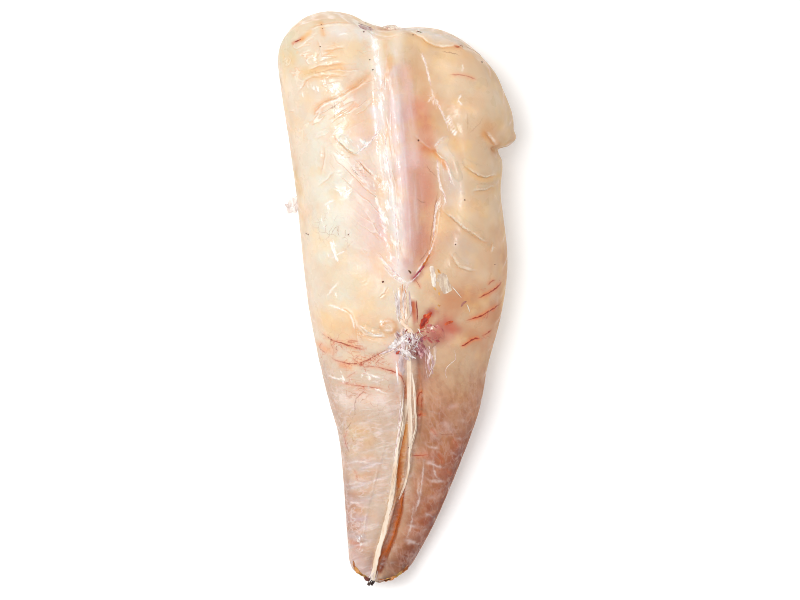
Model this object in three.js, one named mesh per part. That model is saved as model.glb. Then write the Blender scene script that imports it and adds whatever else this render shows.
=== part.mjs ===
// Skinned monkfish tail, cut off behind the head, lying on its back with the belly side up.
// Millimetres. +Z is up from the table, +Y runs to the head end and +X to the right, seen from above.
// The origin is on the table, under the middle of the tail.
import * as THREE from "three";
import { ParametricGeometry } from "three/addons/geometries/ParametricGeometry.js";
import { mergeVertices } from "three/addons/utils/BufferGeometryUtils.js";

// Driving dimensions
const LENGTH = 300;
const WIDTH = 123;
const THICKNESS = 61;

const HALF_LENGTH = LENGTH / 2;
const HALF_WIDTH = WIDTH / 2;

// Facets: columns round the tail, rings along it, and rings across its two cut ends.
// An end's rings are shares of the way from its middle to its rim.
const TOP_COLUMNS = 54;
const UNDERSIDE_COLUMNS = 14;
const COLUMNS = TOP_COLUMNS + UNDERSIDE_COLUMNS;
const BODY_RINGS = 74;
const HEAD_CUT_RINGS = [0, 0.15, 0.2, 0.38, 0.6, 0.8, 0.95];
const TAIL_CUT_RINGS = [0.9, 0.55, 0.25, 0];
const CENTRE_CROWDING = 1.5; // over 1 brings the columns closer together towards the keel
const END_CROWDING = 0.45; // 0 spaces the rings evenly, 1 crowds them at both ends

const { lerp, smoothstep, clamp } = THREE.MathUtils;
const bump = (distance, spread) => Math.exp(-((distance / spread) ** 2));

// Plan, seen from above. A place is [across, along] in shares of the half width and half length.
const KEEL = [
  [-0.066, 0.935],
  [-0.006, 0.757],
  [0.053, 0.479],
  [0.104, 0.062],
  [0.104, -0.164],
  [0.129, -0.356],
  [0.112, -0.53],
  [0.036, -0.703],
  [-0.091, -0.86],
  [-0.185, -0.997],
];
const LEFT_SIDE = [
  [-0.99, 0.862],
  [-0.999, 0.792],
  [-0.906, 0.531],
  [-0.842, 0.34],
  [-0.744, -0.029],
  [-0.592, -0.331],
  [-0.498, -0.467],
  [-0.456, -0.599],
  [-0.401, -0.919],
];
const RIGHT_SIDE = [
  [0.867, 0.764],
  [0.986, 0.643],
  [1.003, 0.583],
  [0.986, 0.538],
  [0.918, 0.521],
  [0.901, 0.493],
  [0.91, 0.437],
  [0.893, 0.357],
  [0.952, 0.124],
  [0.901, -0.06],
  [0.783, -0.244],
  [0.732, -0.363],
  [0.638, -0.488],
  [0.367, -0.763],
  [0.138, -0.94],
];
const HEAD_LEFT = [
  [-0.99, 0.862],
  [-0.948, 0.91],
  [-0.812, 0.97],
  [-0.515, 1],
  [-0.261, 0.959],
  [-0.193, 0.937],
  [-0.066, 0.935],
];
const HEAD_RIGHT = [
  [0.867, 0.764],
  [0.774, 0.82],
  [0.647, 0.872],
  [0.503, 0.914],
  [0.35, 0.938],
  [-0.066, 0.935],
];
const TAIL_LEFT = [
  [-0.401, -0.919],
  [-0.371, -0.954],
  [-0.286, -0.975],
  [-0.185, -0.997],
];
const TAIL_RIGHT = [
  [0.138, -0.94],
  [0.036, -0.971],
  [-0.066, -0.99],
  [-0.185, -0.997],
];

// A plan curve through places, and a value that changes smoothly through [place, value] stations.
function planCurve(places) {
  return new THREE.SplineCurve(
    places.map(([across, along]) => new THREE.Vector2(across * HALF_WIDTH, along * HALF_LENGTH)),
  );
}

function stations(pairs) {
  const sorted = [...pairs].sort((a, b) => a[0] - b[0]);
  const curve = new THREE.CubicInterpolant(
    sorted.map((pair) => pair[0]),
    sorted.map((pair) => pair[1]),
    1,
    new Float32Array(1),
  );
  return (place) => curve.evaluate(place)[0];
}

const lineAlong = (places) => {
  const across = stations(places.map(([a, b]) => [b, a]));
  return (along) => across(along) * HALF_WIDTH;
};

const keelCurve = planCurve(KEEL);
const left = { side: planCurve(LEFT_SIDE), head: planCurve(HEAD_LEFT), tail: planCurve(TAIL_LEFT) };
const right = { side: planCurve(RIGHT_SIDE), head: planCurve(HEAD_RIGHT), tail: planCurve(TAIL_RIGHT) };

// Plan point between a side and the keel. Reach is 1 on the side and 0 on the keel, and run is 0
// at the head end and 1 at the tail tip. Blends the four curves that bound that half.
function planPoint(half, reach, run) {
  const inward = 1 - reach;
  const side = half.side.getPointAt(run);
  const keel = keelCurve.getPointAt(run);
  const head = half.head.getPointAt(inward);
  const tail = half.tail.getPointAt(inward);
  const sides = side.multiplyScalar(reach).addScaledVector(keel, inward);
  const ends = head.multiplyScalar(1 - run).addScaledVector(tail, run);
  const cornersAt = (end) => {
    const corner = half.side.getPoint(end).multiplyScalar(reach);
    return corner.addScaledVector(keelCurve.getPoint(end), inward);
  };
  const corners = cornersAt(0).multiplyScalar(1 - run).addScaledVector(cornersAt(1), run);
  return sides.add(ends).sub(corners);
}

// Cross-section: crown height and the height of the widest place, and how full the shoulders are.
// The underside is pressed flat on the table over part of its width.
const crownShare = stations([
  [-1, 0.36],
  [-0.8, 0.49],
  [-0.53, 0.67],
  [-0.25, 0.84],
  [0, 0.94],
  [0.35, 1],
  [0.7, 0.99],
  [0.88, 0.93],
  [1, 0.86],
]);
const WAIST_SHARE = 0.4;
const SHOULDER_POWER = 2.3;
const UNDERSIDE_POWER = 3;
const UNDERSIDE_PRESS = 1.16;

const crownHeight = (along) => crownShare(along) * THICKNESS;
const shoulder = (reach) => (1 - reach ** SHOULDER_POWER) ** (1 / SHOULDER_POWER);
const underside = (reach) => UNDERSIDE_PRESS * Math.sqrt(1 - reach ** UNDERSIDE_POWER);

// Belly: a broad hollow between the fillets, the backbone's ridge under its membrane along the keel,
// and a gutter on each side of that ridge. The right fillet stands steeply over its gutter.
const BELLY_REAR = -0.05;
const BELLY_FULL = 0.2;
const BELLY_HOLLOW = { depth: 8, spread: 26, toRight: 6 };
const BACKBONE = { height: 5.5, spread: 8 };
const LEFT_GUTTER = { depth: 2.2, spread: 5 };
const RIGHT_GUTTER = { depth: 6.5, inner: 9, outer: 6 };
const keelAcross = lineAlong(KEEL);
const leftGutterAcross = lineAlong([
  [-0.21, 0.897],
  [-0.201, 0.653],
  [-0.134, 0.34],
  [-0.066, 0.166],
  [0.019, 0.062],
]);
const rightGutterAcross = lineAlong([
  [0.138, 0.897],
  [0.24, 0.688],
  [0.367, 0.479],
  [0.384, 0.34],
  [0.35, 0.218],
  [0.274, 0.124],
  [0.172, 0.069],
]);

function bellyRelief(x, along) {
  const open = smoothstep(along, BELLY_REAR, BELLY_FULL);
  const fromKeel = x - keelAcross(along);
  const fromLeft = x - leftGutterAcross(along);
  const fromRight = x - rightGutterAcross(along);
  const rightSpread = fromRight > 0 ? RIGHT_GUTTER.outer : RIGHT_GUTTER.inner;
  return (
    open *
    (BACKBONE.height * bump(fromKeel, BACKBONE.spread) -
      BELLY_HOLLOW.depth * bump(fromKeel - BELLY_HOLLOW.toRight, BELLY_HOLLOW.spread) -
      LEFT_GUTTER.depth * bump(fromLeft, LEFT_GUTTER.spread) -
      RIGHT_GUTTER.depth * bump(fromRight, rightSpread))
  );
}

// Vent: a frayed knob on the keel with a sunken pocket to its right and another before it.
const VENT = { along: -0.155, height: 3, spread: 5.5 };
const VENT_POCKET = { along: -0.09, toRight: 8, depth: 3.5, spread: 5 };
const VENT_THROAT = { along: -0.05, toRight: -1, depth: 2.5, spread: 6 };

function ventRelief(x, y) {
  const bumpAt = (place, toRight) => {
    const dx = x - keelAcross(place.along) - toRight;
    const dy = y - place.along * HALF_LENGTH;
    return bump(Math.hypot(dx, dy), place.spread);
  };
  return (
    VENT.height * bumpAt(VENT, 0) -
    VENT_POCKET.depth * bumpAt(VENT_POCKET, VENT_POCKET.toRight) -
    VENT_THROAT.depth * bumpAt(VENT_THROAT, VENT_THROAT.toRight)
  );
}

// Fin slit: the groove that the cut-away fin leaves from the vent to the tip, with its tendons lying
// in it. The right tendon ends part of the way down, where the lower band takes its place.
const SLIT = { from: -0.16, full: -0.3, depth: 4.6, spread: 5.5 };
const TENDON_SPREAD = 1.7;
const TENDON_FADE = 0.05; // share of the half length over which a tendon's end sinks in
const LEFT_TENDON = { height: 3.2, toRight: -5, ends: -0.74 };
const RIGHT_TENDON = { height: 3.6, toRight: 1.2, ends: -0.62 };
const LOWER_BAND = { height: 3.4, toRight: -1.4, starts: -0.64 };

function slitRelief(x, along) {
  const open = 1 - smoothstep(along, SLIT.full, SLIT.from);
  const fromKeel = x - keelAcross(along);
  const tendon = (strand, share) => share * strand.height * bump(fromKeel - strand.toRight, TENDON_SPREAD);
  const fades = (ends) => smoothstep(along, ends - TENDON_FADE, ends + TENDON_FADE);
  return (
    open *
    (tendon(LEFT_TENDON, fades(LEFT_TENDON.ends)) +
      tendon(RIGHT_TENDON, fades(RIGHT_TENDON.ends)) +
      tendon(LOWER_BAND, 1 - fades(LOWER_BAND.starts)) -
      SLIT.depth * bump(fromKeel, SLIT.spread))
  );
}

// Belly flap: the right fillet's upper part hangs over its side and ends in a free edge. Below that
// edge the flesh is rolled into a fold, whose lower edge is a crescent. Each is raised from one
// place across to the next, and its edge runs down the tail from its inner end to its outer one.
const FLAP = { from: 36, full: 50, lift: 3, edge: { inner: 88, outer: 77, levels: 60, width: 2.5 } };
const FOLD = { from: 27, full: 37, lift: 2.6, edge: { inner: 74, outer: 63, levels: 46, width: 2 } };
const FOLD_TOP = { from: 84, to: 110 }; // where the fold runs out under the flap

function layerRelief({ from, full, lift, edge }, x, y) {
  const edgeAt = lerp(edge.inner, edge.outer, smoothstep(x, from, edge.levels));
  return lift * smoothstep(x, from, full) * smoothstep(y - edgeAt, -edge.width, edge.width);
}

function flapRelief(x, y) {
  const foldShown = 1 - smoothstep(y, FOLD_TOP.from, FOLD_TOP.to);
  return layerRelief(FLAP, x, y) + layerRelief(FOLD, x, y) * foldShown;
}

// Fillet ends: the thick belly flesh stops in a low step on each side of the vent, and the tail
// beyond it is bound in thin fascia.
const FILLET_STEP = { drop: 2, width: 6 };
const filletEdge = stations([
  [-48, -12],
  [-26, -25],
  [-8, -29],
  [4, -22],
  [26, -24],
  [50, -33],
]);

function filletRelief(x, y) {
  return FILLET_STEP.drop * (smoothstep(y - filletEdge(x), -FILLET_STEP.width, FILLET_STEP.width) - 1);
}

// Point of the tail's skinned surface. Across runs from -1 on the left side to 1 on the right one.
const RELIEF_MARGIN = 0.22; // share of the reach over which the relief fades out at a side

function topPoint(across, run) {
  const reach = Math.abs(across);
  const plan = planPoint(across < 0 ? left : right, reach, run);
  const along = clamp(plan.y / HALF_LENGTH, -1, 1);
  const crown = crownHeight(along);
  const waist = crown * WAIST_SHARE;
  const relief =
    bellyRelief(plan.x, along) +
    ventRelief(plan.x, plan.y) +
    slitRelief(plan.x, along) +
    flapRelief(plan.x, plan.y) +
    filletRelief(plan.x, plan.y);
  const shown = smoothstep(1 - reach, 0, RELIEF_MARGIN);
  return new THREE.Vector3(plan.x, plan.y, waist + (crown - waist) * shoulder(reach) + relief * shown);
}

function undersidePoint(across, run) {
  const reach = Math.abs(across);
  const plan = planPoint(across < 0 ? left : right, reach, run);
  const waist = crownHeight(clamp(plan.y / HALF_LENGTH, -1, 1)) * WAIST_SHARE;
  return new THREE.Vector3(plan.x, plan.y, Math.max(0, waist * (1 - underside(reach))));
}

// Head end: the cut leans back towards the top and is drawn in a little at the table.
const CUT_LEAN = { top: 9, table: 4, reachAlong: 0.05 };
const CUT_CROWN = crownHeight(KEEL[0][1]);
const CUT_WAIST = CUT_CROWN * WAIST_SHARE;

function cutLean(z) {
  return z > CUT_WAIST
    ? CUT_LEAN.top * ((z - CUT_WAIST) / (CUT_CROWN - CUT_WAIST)) ** 2
    : CUT_LEAN.table * ((CUT_WAIST - z) / CUT_WAIST) ** 2;
}

// Column j starts at the right side, crosses the top to the left side and comes back underneath.
function acrossOf(share, crowding) {
  const side = Math.sign(share);
  return side * Math.sin((Math.PI / 2) * Math.abs(share) ** crowding);
}

function bodyPoint(column, run) {
  const turned = column % COLUMNS;
  const onTop = turned <= TOP_COLUMNS;
  const point = onTop
    ? topPoint(acrossOf(1 - (2 * turned) / TOP_COLUMNS, CENTRE_CROWDING), run)
    : undersidePoint(acrossOf((2 * (turned - TOP_COLUMNS)) / UNDERSIDE_COLUMNS - 1, 1), run);
  point.y -= cutLean(point.z) * Math.exp(-run / CUT_LEAN.reachAlong);
  return point;
}

// An end's outline in plan as a distance along the tail at each place across it. The two halves share
// their point on the keel, so places are told apart to a small step.
const END_SAMPLES = 24;
const PLACE_STEP = 0.1;

function endLine(halves) {
  const outline = halves.flatMap((curve) => curve.getSpacedPoints(END_SAMPLES));
  const placeOf = (point) => Math.round(point.x / PLACE_STEP) * PLACE_STEP;
  return stations([...new Map(outline.map((point) => [placeOf(point), point.y]))]);
}

const headLine = endLine([left.head, right.head]);
const tailLine = endLine([left.tail, right.tail]);

// Face of the head cut: it follows that outline, and the end of the backbone is sunk in its middle.
// The sunken floor and its rim are shares of the way to the edge of the face.
const BACKBONE_END = { height: 30, floor: 0.14, rim: 0.2, depth: 3 };

function headCutPoint(column, share) {
  const rim = bodyPoint(column, 0);
  const middle = new THREE.Vector3(keelCurve.getPoint(0).x, 0, BACKBONE_END.height);
  const point = middle.lerp(rim, share);
  const sunk = 1 - smoothstep(share, BACKBONE_END.floor, BACKBONE_END.rim);
  point.y = headLine(point.x) - cutLean(point.z) - BACKBONE_END.depth * sunk;
  return point;
}

// Face of the tail cut: it follows its outline round the stub of the backbone.
const TAIL_STUB = { height: 10, toRight: 3, share: 0.3, length: 2 };

function tailCutPoint(column, share) {
  const rim = bodyPoint(column, 1);
  const middle = new THREE.Vector3(keelCurve.getPoint(1).x + TAIL_STUB.toRight, 0, TAIL_STUB.height);
  const point = middle.lerp(rim, share);
  point.y = tailLine(point.x) - TAIL_STUB.length * (1 - smoothstep(share, 0, TAIL_STUB.share));
  return point;
}

// The whole skin as one closed sheet: the head cut, the body and the tail cut, ring after ring.
function ringPoint(ring, column) {
  if (ring < HEAD_CUT_RINGS.length) return headCutPoint(column, HEAD_CUT_RINGS[ring]);
  const along = ring - HEAD_CUT_RINGS.length;
  if (along > BODY_RINGS) return tailCutPoint(column, TAIL_CUT_RINGS[along - BODY_RINGS - 1]);
  const even = along / BODY_RINGS;
  const crowded = (1 - Math.cos(Math.PI * even)) / 2;
  return bodyPoint(column, lerp(even, crowded, END_CROWDING));
}

function tailGeometry() {
  const rings = HEAD_CUT_RINGS.length + BODY_RINGS + TAIL_CUT_RINGS.length;
  const skin = new ParametricGeometry(
    (u, v, target) => target.copy(ringPoint(Math.round(v * rings), Math.round(u * COLUMNS))),
    COLUMNS,
    rings,
  );
  skin.deleteAttribute("normal");
  skin.deleteAttribute("uv");
  const closed = mergeVertices(skin);
  closed.computeBoundingBox();
  const middle = closed.boundingBox.getCenter(new THREE.Vector3());
  closed.translate(-middle.x, -middle.y, -closed.boundingBox.min.z);
  closed.computeVertexNormals();
  return closed;
}

const wetFlesh = new THREE.MeshStandardMaterial({ color: 0xe8cba8, roughness: 0.35, metalness: 0 });

const tail = new THREE.Mesh(tailGeometry(), wetFlesh);
tail.name = "monkfish_tail";

const part = new THREE.Group();
part.add(tail);

export default part;
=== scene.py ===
# Skinned monkfish tail lying belly side up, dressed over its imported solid. Metres, +Z up, +Y to the head end.
import math

import bpy
import numpy as np
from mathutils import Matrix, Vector, noise
from mathutils.bvhtree import BVHTree
from mathutils.kdtree import KDTree


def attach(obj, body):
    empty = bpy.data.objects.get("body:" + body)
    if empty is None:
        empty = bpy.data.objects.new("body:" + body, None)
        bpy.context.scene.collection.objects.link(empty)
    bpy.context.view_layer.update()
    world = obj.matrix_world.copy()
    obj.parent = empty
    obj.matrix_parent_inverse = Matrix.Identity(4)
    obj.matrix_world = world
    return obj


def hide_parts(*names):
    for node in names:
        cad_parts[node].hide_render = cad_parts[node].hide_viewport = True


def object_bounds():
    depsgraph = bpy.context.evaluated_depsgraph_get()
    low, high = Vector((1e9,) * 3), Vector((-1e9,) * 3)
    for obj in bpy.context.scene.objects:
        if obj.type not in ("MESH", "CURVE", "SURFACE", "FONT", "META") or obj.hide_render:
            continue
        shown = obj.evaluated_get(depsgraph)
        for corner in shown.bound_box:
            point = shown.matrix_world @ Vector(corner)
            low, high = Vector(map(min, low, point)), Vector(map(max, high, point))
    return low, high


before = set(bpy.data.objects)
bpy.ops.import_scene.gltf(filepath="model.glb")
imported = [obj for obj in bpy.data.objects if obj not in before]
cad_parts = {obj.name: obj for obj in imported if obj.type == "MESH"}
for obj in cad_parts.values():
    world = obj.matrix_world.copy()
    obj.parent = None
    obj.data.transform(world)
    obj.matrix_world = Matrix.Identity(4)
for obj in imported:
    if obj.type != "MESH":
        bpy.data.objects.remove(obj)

cad_low, cad_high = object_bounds()
MM = 0.001

# Blender's vector noise starts from the clock in each run unless it is seeded.
NOISE_SEED = 1
noise.seed_set(NOISE_SEED)


# Flesh, form: two thick fillets of raw white muscle on the backbone, soft and pressed flat underneath.
# The solid is merged and rounded, then creased, lapped and puckered where the muscle was cut and pulled.
ROUNDING_LEVELS = 2
MERGE_DISTANCE = 0.001 * MM

bpy.ops.object.select_all(action="DESELECT")
flesh = bpy.data.objects.new("tail_flesh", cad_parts["monkfish_tail"].data.copy())
bpy.context.collection.objects.link(flesh)
bpy.context.view_layer.objects.active = flesh
flesh.select_set(True)
flesh.data.materials.clear()
bpy.ops.mesh.customdata_custom_splitnormals_clear()
bpy.ops.object.mode_set(mode="EDIT")
bpy.ops.mesh.select_all(action="SELECT")
bpy.ops.mesh.remove_doubles(threshold=MERGE_DISTANCE)
bpy.ops.mesh.tris_convert_to_quads(face_threshold=math.pi, shape_threshold=math.pi)
bpy.ops.object.mode_set(mode="OBJECT")
rounding = flesh.modifiers.new("rounding", "SUBSURF")
rounding.levels = rounding.render_levels = ROUNDING_LEVELS
bpy.ops.object.modifier_apply(modifier=rounding.name)
bpy.ops.object.shade_smooth()

# A place on the belly is named by its pixel in the photograph, which looks straight down on the tail.
TAIL_PIXELS = 575
MIDDLE_PIXEL = (395.75, 297.75)
PIXEL = (cad_high.y - cad_low.y) / TAIL_PIXELS
SPAN_STEPS = 4


def seen(*pixels):
    """A smooth route through pixels of the photograph, in metres across and along the tail."""
    marks = (np.array(pixels, float) - MIDDLE_PIXEL) * (PIXEL, -PIXEL)
    if len(marks) < 3:
        return marks
    ends = np.vstack([2 * marks[0] - marks[1], marks, 2 * marks[-1] - marks[-2]])
    route = [marks[:1]]
    for before, start, stop, after in zip(ends, ends[1:], ends[2:], ends[3:]):
        for share in np.linspace(0, 1, SPAN_STEPS + 1)[1:]:
            bend = (2 * before - 5 * start + 4 * stop - after) * share**2
            turn = (3 * start - before - 3 * stop + after) * share**3
            route.append((start + ((stop - before) * share + bend + turn) / 2)[None])
    return np.vstack(route)


def ramp(value, low, high):
    """0 below low, 1 above high, and a smooth rise between them."""
    share = np.clip((value - low) / (high - low), 0, 1)
    return share * share * (3 - 2 * share)


def ripple(places, size, seed):
    """Random heights from about -1 to 1 that change smoothly over that size."""
    shift = Vector((seed * 7.31, seed * 3.17, seed * 5.71))
    return np.array([noise.noise(Vector(place) / size + shift) for place in places])


def nearest(plan, route, reach):
    """How far each place lies from a route seen from above, on which side of it, 1 for left and -1 for right,
    and at which share of its length."""
    distance = np.full(len(plan), 1.0)
    side = np.zeros(len(plan))
    share = np.zeros(len(plan))
    if len(route) == 1:
        return np.linalg.norm(plan - route[0], axis=1), side, share + 0.5
    low, high = route.min(0) - reach, route.max(0) + reach
    inside = np.flatnonzero(((plan > low) & (plan < high)).all(1))
    steps = np.diff(route, axis=0)
    lengths = np.linalg.norm(steps, axis=1)
    passed = np.concatenate([[0], np.cumsum(lengths)])
    for start, step, length, before in zip(route, steps, lengths, passed):
        offset = plan[inside] - start
        part = np.clip(offset @ step / length**2, 0, 1)
        gap = offset - part[:, None] * step
        reached = np.hypot(gap[:, 0], gap[:, 1])
        closer = reached < distance[inside]
        spots = inside[closer]
        distance[spots] = reached[closer]
        side[spots] = np.sign(step[0] * gap[closer, 1] - step[1] * gap[closer, 0])
        share[spots] = (before + part[closer] * length) / passed[-1]
    return distance, side, share


skin = np.empty(len(flesh.data.vertices) * 3)
flesh.data.vertices.foreach_get("co", skin)
skin = skin.reshape(-1, 3)
facing = np.empty(len(skin) * 3)
flesh.data.vertex_normals.foreach_get("vector", facing)
facing = facing.reshape(-1, 3)
plan = skin[:, :2].copy()

# Relief and colour fade out where the flesh turns under. Rise follows the surface, lift goes straight up.
upper = ramp(facing[:, 2], -0.1, 0.35)
rise = np.zeros(len(skin))
lift = np.zeros(len(skin))
FAR = 40 * MM
CREASE_LIP = 0.35
LIP_PLACE = 2.2
LAP_EDGE = 0.5
LAP_ENDS = 0.2


def fading(share, ends):
    """1 along a route and 0 at its two ends, over that share of it."""
    return ramp(share, 0, ends) * ramp(1 - share, 0, ends)


def crease(depth, width, *pixels, ends=0.3):
    """A groove between two soft lips. Depth and width in millimetres."""
    global rise
    distance, side, share = nearest(plan, seen(*pixels), FAR)
    spread = distance / (width * MM)
    groove = np.exp(-spread**2) - CREASE_LIP * np.exp(-((spread - LIP_PLACE) ** 2))
    rise -= depth * MM * groove * fading(share, ends)


def lap(height, run, *pixels):
    """The free edge of a layer: its left side stands over its right side and settles back over a run.
    Sizes in millimetres."""
    global rise
    distance, side, share = nearest(plan, seen(*pixels), FAR)
    signed = distance * side / MM
    step = ramp(signed, -LAP_EDGE, LAP_EDGE) * np.exp(-np.maximum(signed, 0) / run)
    rise += height * MM * step * fading(share, LAP_ENDS)


def swell(height, spread, *pixels):
    """A soft lump along a route. Height and spread in millimetres."""
    global rise
    distance, side, share = nearest(plan, seen(*pixels), FAR)
    rise += height * MM * np.exp(-((distance / (spread * MM)) ** 2))


def fill(height, spread, *pixels):
    """Raises a hollow straight up along a route, less and less over its last half, down to nothing."""
    global lift
    distance, side, share = nearest(plan, seen(*pixels), FAR)
    lift += height * MM * np.exp(-((distance / (spread * MM)) ** 2)) * (1 - ramp(share, 0.5, 1))


# Soft lumps all over, each with its size and height in millimetres and its seed
LUMPS = [(22, 0.6, 1), (9, 0.3, 2), (4, 0.08, 3)]
for size, height, seed in LUMPS:
    rise += height * MM * ripple(skin, size * MM, seed)

# Left fillet: the long slanting crease, the wrinkles above it and the pulled membrane below it
crease(0.4, 0.8, (378, 68), (363, 84), (346, 96), (324, 107), (313, 119))
crease(0.3, 0.8, (300, 97), (305, 85), (314, 79), (330, 78), (345, 79))
crease(0.25, 0.8, (308, 72), (322, 69), (333, 66), (345, 65))
crease(0.25, 0.7, (321, 50), (334, 51), (346, 49))
crease(0.25, 0.7, (318, 44), (319, 55), (317, 66), (318, 74))
crease(0.35, 0.9, (331, 137), (342, 149), (357, 156), (374, 160))
crease(0.4, 0.8, (324, 145), (324, 160), (320, 175))
crease(0.35, 0.8, (317, 190), (326, 181), (336, 174))
crease(0.5, 0.9, (285, 124), (289, 140), (293, 158))

# Right fillet: the fold under the flap, its crescent edge, and the creases below it
crease(0.9, 1.0, (500, 151), (494, 147), (489, 139), (484, 132))
crease(0.5, 0.9, (464, 167), (473, 176), (485, 179), (499, 176))
crease(0.7, 0.9, (470, 192), (482, 191), (490, 188), (498, 184))
crease(0.35, 1.0, (438, 213), (457, 225), (474, 237), (484, 243), (492, 244))
crease(0.5, 0.8, (450, 253), (454, 263), (463, 270), (477, 272))

# Fillet edges: a corner lobe hangs over the backbone's membrane, and the fillets end above the vent
lap(0.7, 4, (438, 158), (441, 180), (443, 195), (440, 215), (436, 240), (430, 262), (420, 275))
lap(1.0, 9, (313, 328), (345, 345), (375, 352), (400, 341))
swell(1.2, 2.6, (382, 327), (392, 328))
crease(0.7, 0.8, (352, 323), (366, 334), (380, 338), (394, 338))

# Backbone: its right flank runs out into the right fillet at the head end and sinks in beside it further down
fill(6.0, 7, (407, 25), (411, 45), (417, 68), (424, 92), (430, 125), (437, 165))
swell(0.8, 3, (414, 300), (420, 320), (427, 330))
swell(0.9, 4, (401, 340), (410, 350))

# Fin slit between the tendons, with a raised bank on its left
slit_floor = [(404, 425), (402, 455), (400, 480), (398, 505), (392, 533), (385, 552), (378, 578)]
crease(1.8, 1.6, *slit_floor, ends=0.12)
crease(0.9, 1.1, (419, 372), (420, 400), (418, 430), (413, 452), ends=0.2)
crease(0.8, 0.9, (405, 385), (405, 405), (406, 425), ends=0.2)
lap(0.6, 8, (362, 556), (367, 515), (375, 484), (384, 452), (390, 430))

# Tail: the muscle segments' edges ring it in slanting bands, and show on the steep sides too
WHOLE_TAIL = 1.0
SEGMENT_LENGTH = 8.6 * MM
SEGMENT_SLANT = 0.35
SEPTUM_DEPTH = 0.45 * MM
SIDE_SEGMENT = 15 * MM
SIDE_SLANT = 0.5
SIDE_DEPTH = 0.35 * MM
WAIST_HEIGHT = 24 * MM
keel = [(392, 20), (395, 80), (402, 160), (408, 240), (408, 340), (413, 405), (400, 500), (374, 590)]
from_keel, keel_side, keel_share = nearest(plan, seen(*keel), WHOLE_TAIL)
cut_face_start = ramp(plan[:, 1], 120 * MM, 135 * MM)
wander = 1.6 * MM * ripple(skin, 14 * MM, 21)
segment = (plan[:, 1] + SEGMENT_SLANT * from_keel + wander) / SEGMENT_LENGTH
septum = np.exp(-(((segment % 1) - 0.5) / 0.14) ** 2)
segmented = ramp(-plan[:, 1], 45 * MM, 85 * MM) * ramp(from_keel, 5 * MM, 10 * MM)
segmented *= ramp(ripple(skin, 11 * MM, 22), -0.35, 0.25)
cell = np.exp(-((((segment + 0.5) % 1) - 0.5) / 0.3) ** 2) * segmented
septum *= segmented
rise -= SEPTUM_DEPTH * septum
steep = (1 - ramp(facing[:, 2], 0.1, 0.6)) * ramp(skin[:, 2], 3 * MM, 9 * MM)
side_phase = (plan[:, 1] + SIDE_SLANT * np.abs(skin[:, 2] - WAIST_HEIGHT) + 2 * wander) / SIDE_SEGMENT
side_band = np.exp(-(((side_phase % 1) - 0.5) / 0.12) ** 2) * steep * (1 - cut_face_start)
rise -= SIDE_DEPTH * side_band

# Flap on the right: its end stands out over a notch, like a step
FLAP_OVERHANG = 1.9 * MM
NOTCH_DEPTH = 2.4 * MM
outer = ramp(plan[:, 0], 46 * MM, 54 * MM) * ramp(skin[:, 2], 10 * MM, 18 * MM)
step_marks = seen((500, 128), (500, 139), (500, 146), (500, 149), (500, 162))
flap_start, flap_full, flap_end, notch_top, notch_end = -step_marks[::SPAN_STEPS, 1]
past_flap = ramp(-plan[:, 1], flap_end, notch_top)
overhang = FLAP_OVERHANG * ramp(-plan[:, 1], flap_start, flap_full) * (1 - past_flap)
overhang -= NOTCH_DEPTH * past_flap * (1 - ramp(-plan[:, 1], notch_top, notch_end))

# Head cut: the bone takes up the middle of the hollow at the backbone's end, and flesh closes round it
CUT_MIDDLE_HEIGHT = 30 * MM
BONE_HOLE = 4.3 * MM
BONE_HOLE_DEPTH = 3.2 * MM
cut_face = ramp(facing[:, 1], 0.5, 0.85) * ramp(plan[:, 1], 110 * MM, 125 * MM)
bone_x = seen((392, 20))[0, 0]
beside_bone = skin[:, 0] - bone_x
above_bone = skin[:, 2] - CUT_MIDDLE_HEIGHT
from_bone = np.hypot(beside_bone, above_bone)


def near_bone(aside, down, up):
    """Whether each point lies within so many millimetres of the bone's middle."""
    return (np.abs(beside_bone) < aside * MM) & (above_bone > -down * MM) & (above_bone < up * MM)


hollow = (cut_face_start > 0.5) & near_bone(13, 7.5, 5)
around = (cut_face > 0.9) & ~hollow & near_bone(20, 14, 8)
bearings = np.column_stack([np.ones(len(skin)), beside_bone, beside_bone**2, above_bone, above_bone**2])
level = np.linalg.lstsq(bearings[around], skin[around, 1], rcond=None)[0]
cut_level = bearings @ level
closed = hollow & (from_bone > BONE_HOLE)
skin[closed, 1] = np.maximum(skin[closed, 1], cut_level[closed])
behind_bone = hollow & ~closed
skin[behind_bone, 1] = np.minimum(skin[behind_bone, 1], cut_level[behind_bone] - BONE_HOLE_DEPTH)
rim_inner, rim_outer = seen((400, 37), (400, 29))[:, 1]
lift *= 1 - ramp(plan[:, 1], rim_inner, rim_outer)

# All of it put on the mesh, which stays above the table
skin += facing * (rise * upper)[:, None]
skin[:, 0] += overhang * outer
skin[:, 2] += lift * upper
skin[:, 2] = np.maximum(skin[:, 2], 0)
flesh.data.vertices.foreach_set("co", skin.ravel())
flesh.data.update()
flesh_corners = [tuple(place) for place in skin]
flesh_faces = [tuple(face.vertices) for face in flesh.data.polygons]
surface = BVHTree.FromPolygons(flesh_corners, flesh_faces)


# Flesh, colour: cream muscle that turns tan on the right, a pink membrane over the backbone and a thin
# mauve and brown fascia round the tail. The colours are laid on in soft strokes, from broad to fine.
def paint(red, green, blue):
    """A colour given as it looks on a screen, as linear light."""
    shades = np.array([red, green, blue]) / 255
    return np.where(shades <= 0.04045, shades / 12.92, ((shades + 0.055) / 1.055) ** 2.4)


CREAM = paint(208, 191, 171)
tint = np.tile(CREAM, (len(skin), 1))
ragged = ripple(skin, 7 * MM, 11) + 0.6 * ripple(skin, 2.5 * MM, 12)


def lay(colour, weight):
    """Mixes a colour into the flesh by a weight at each point."""
    global tint
    tint += (colour - tint) * weight[:, None]


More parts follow.
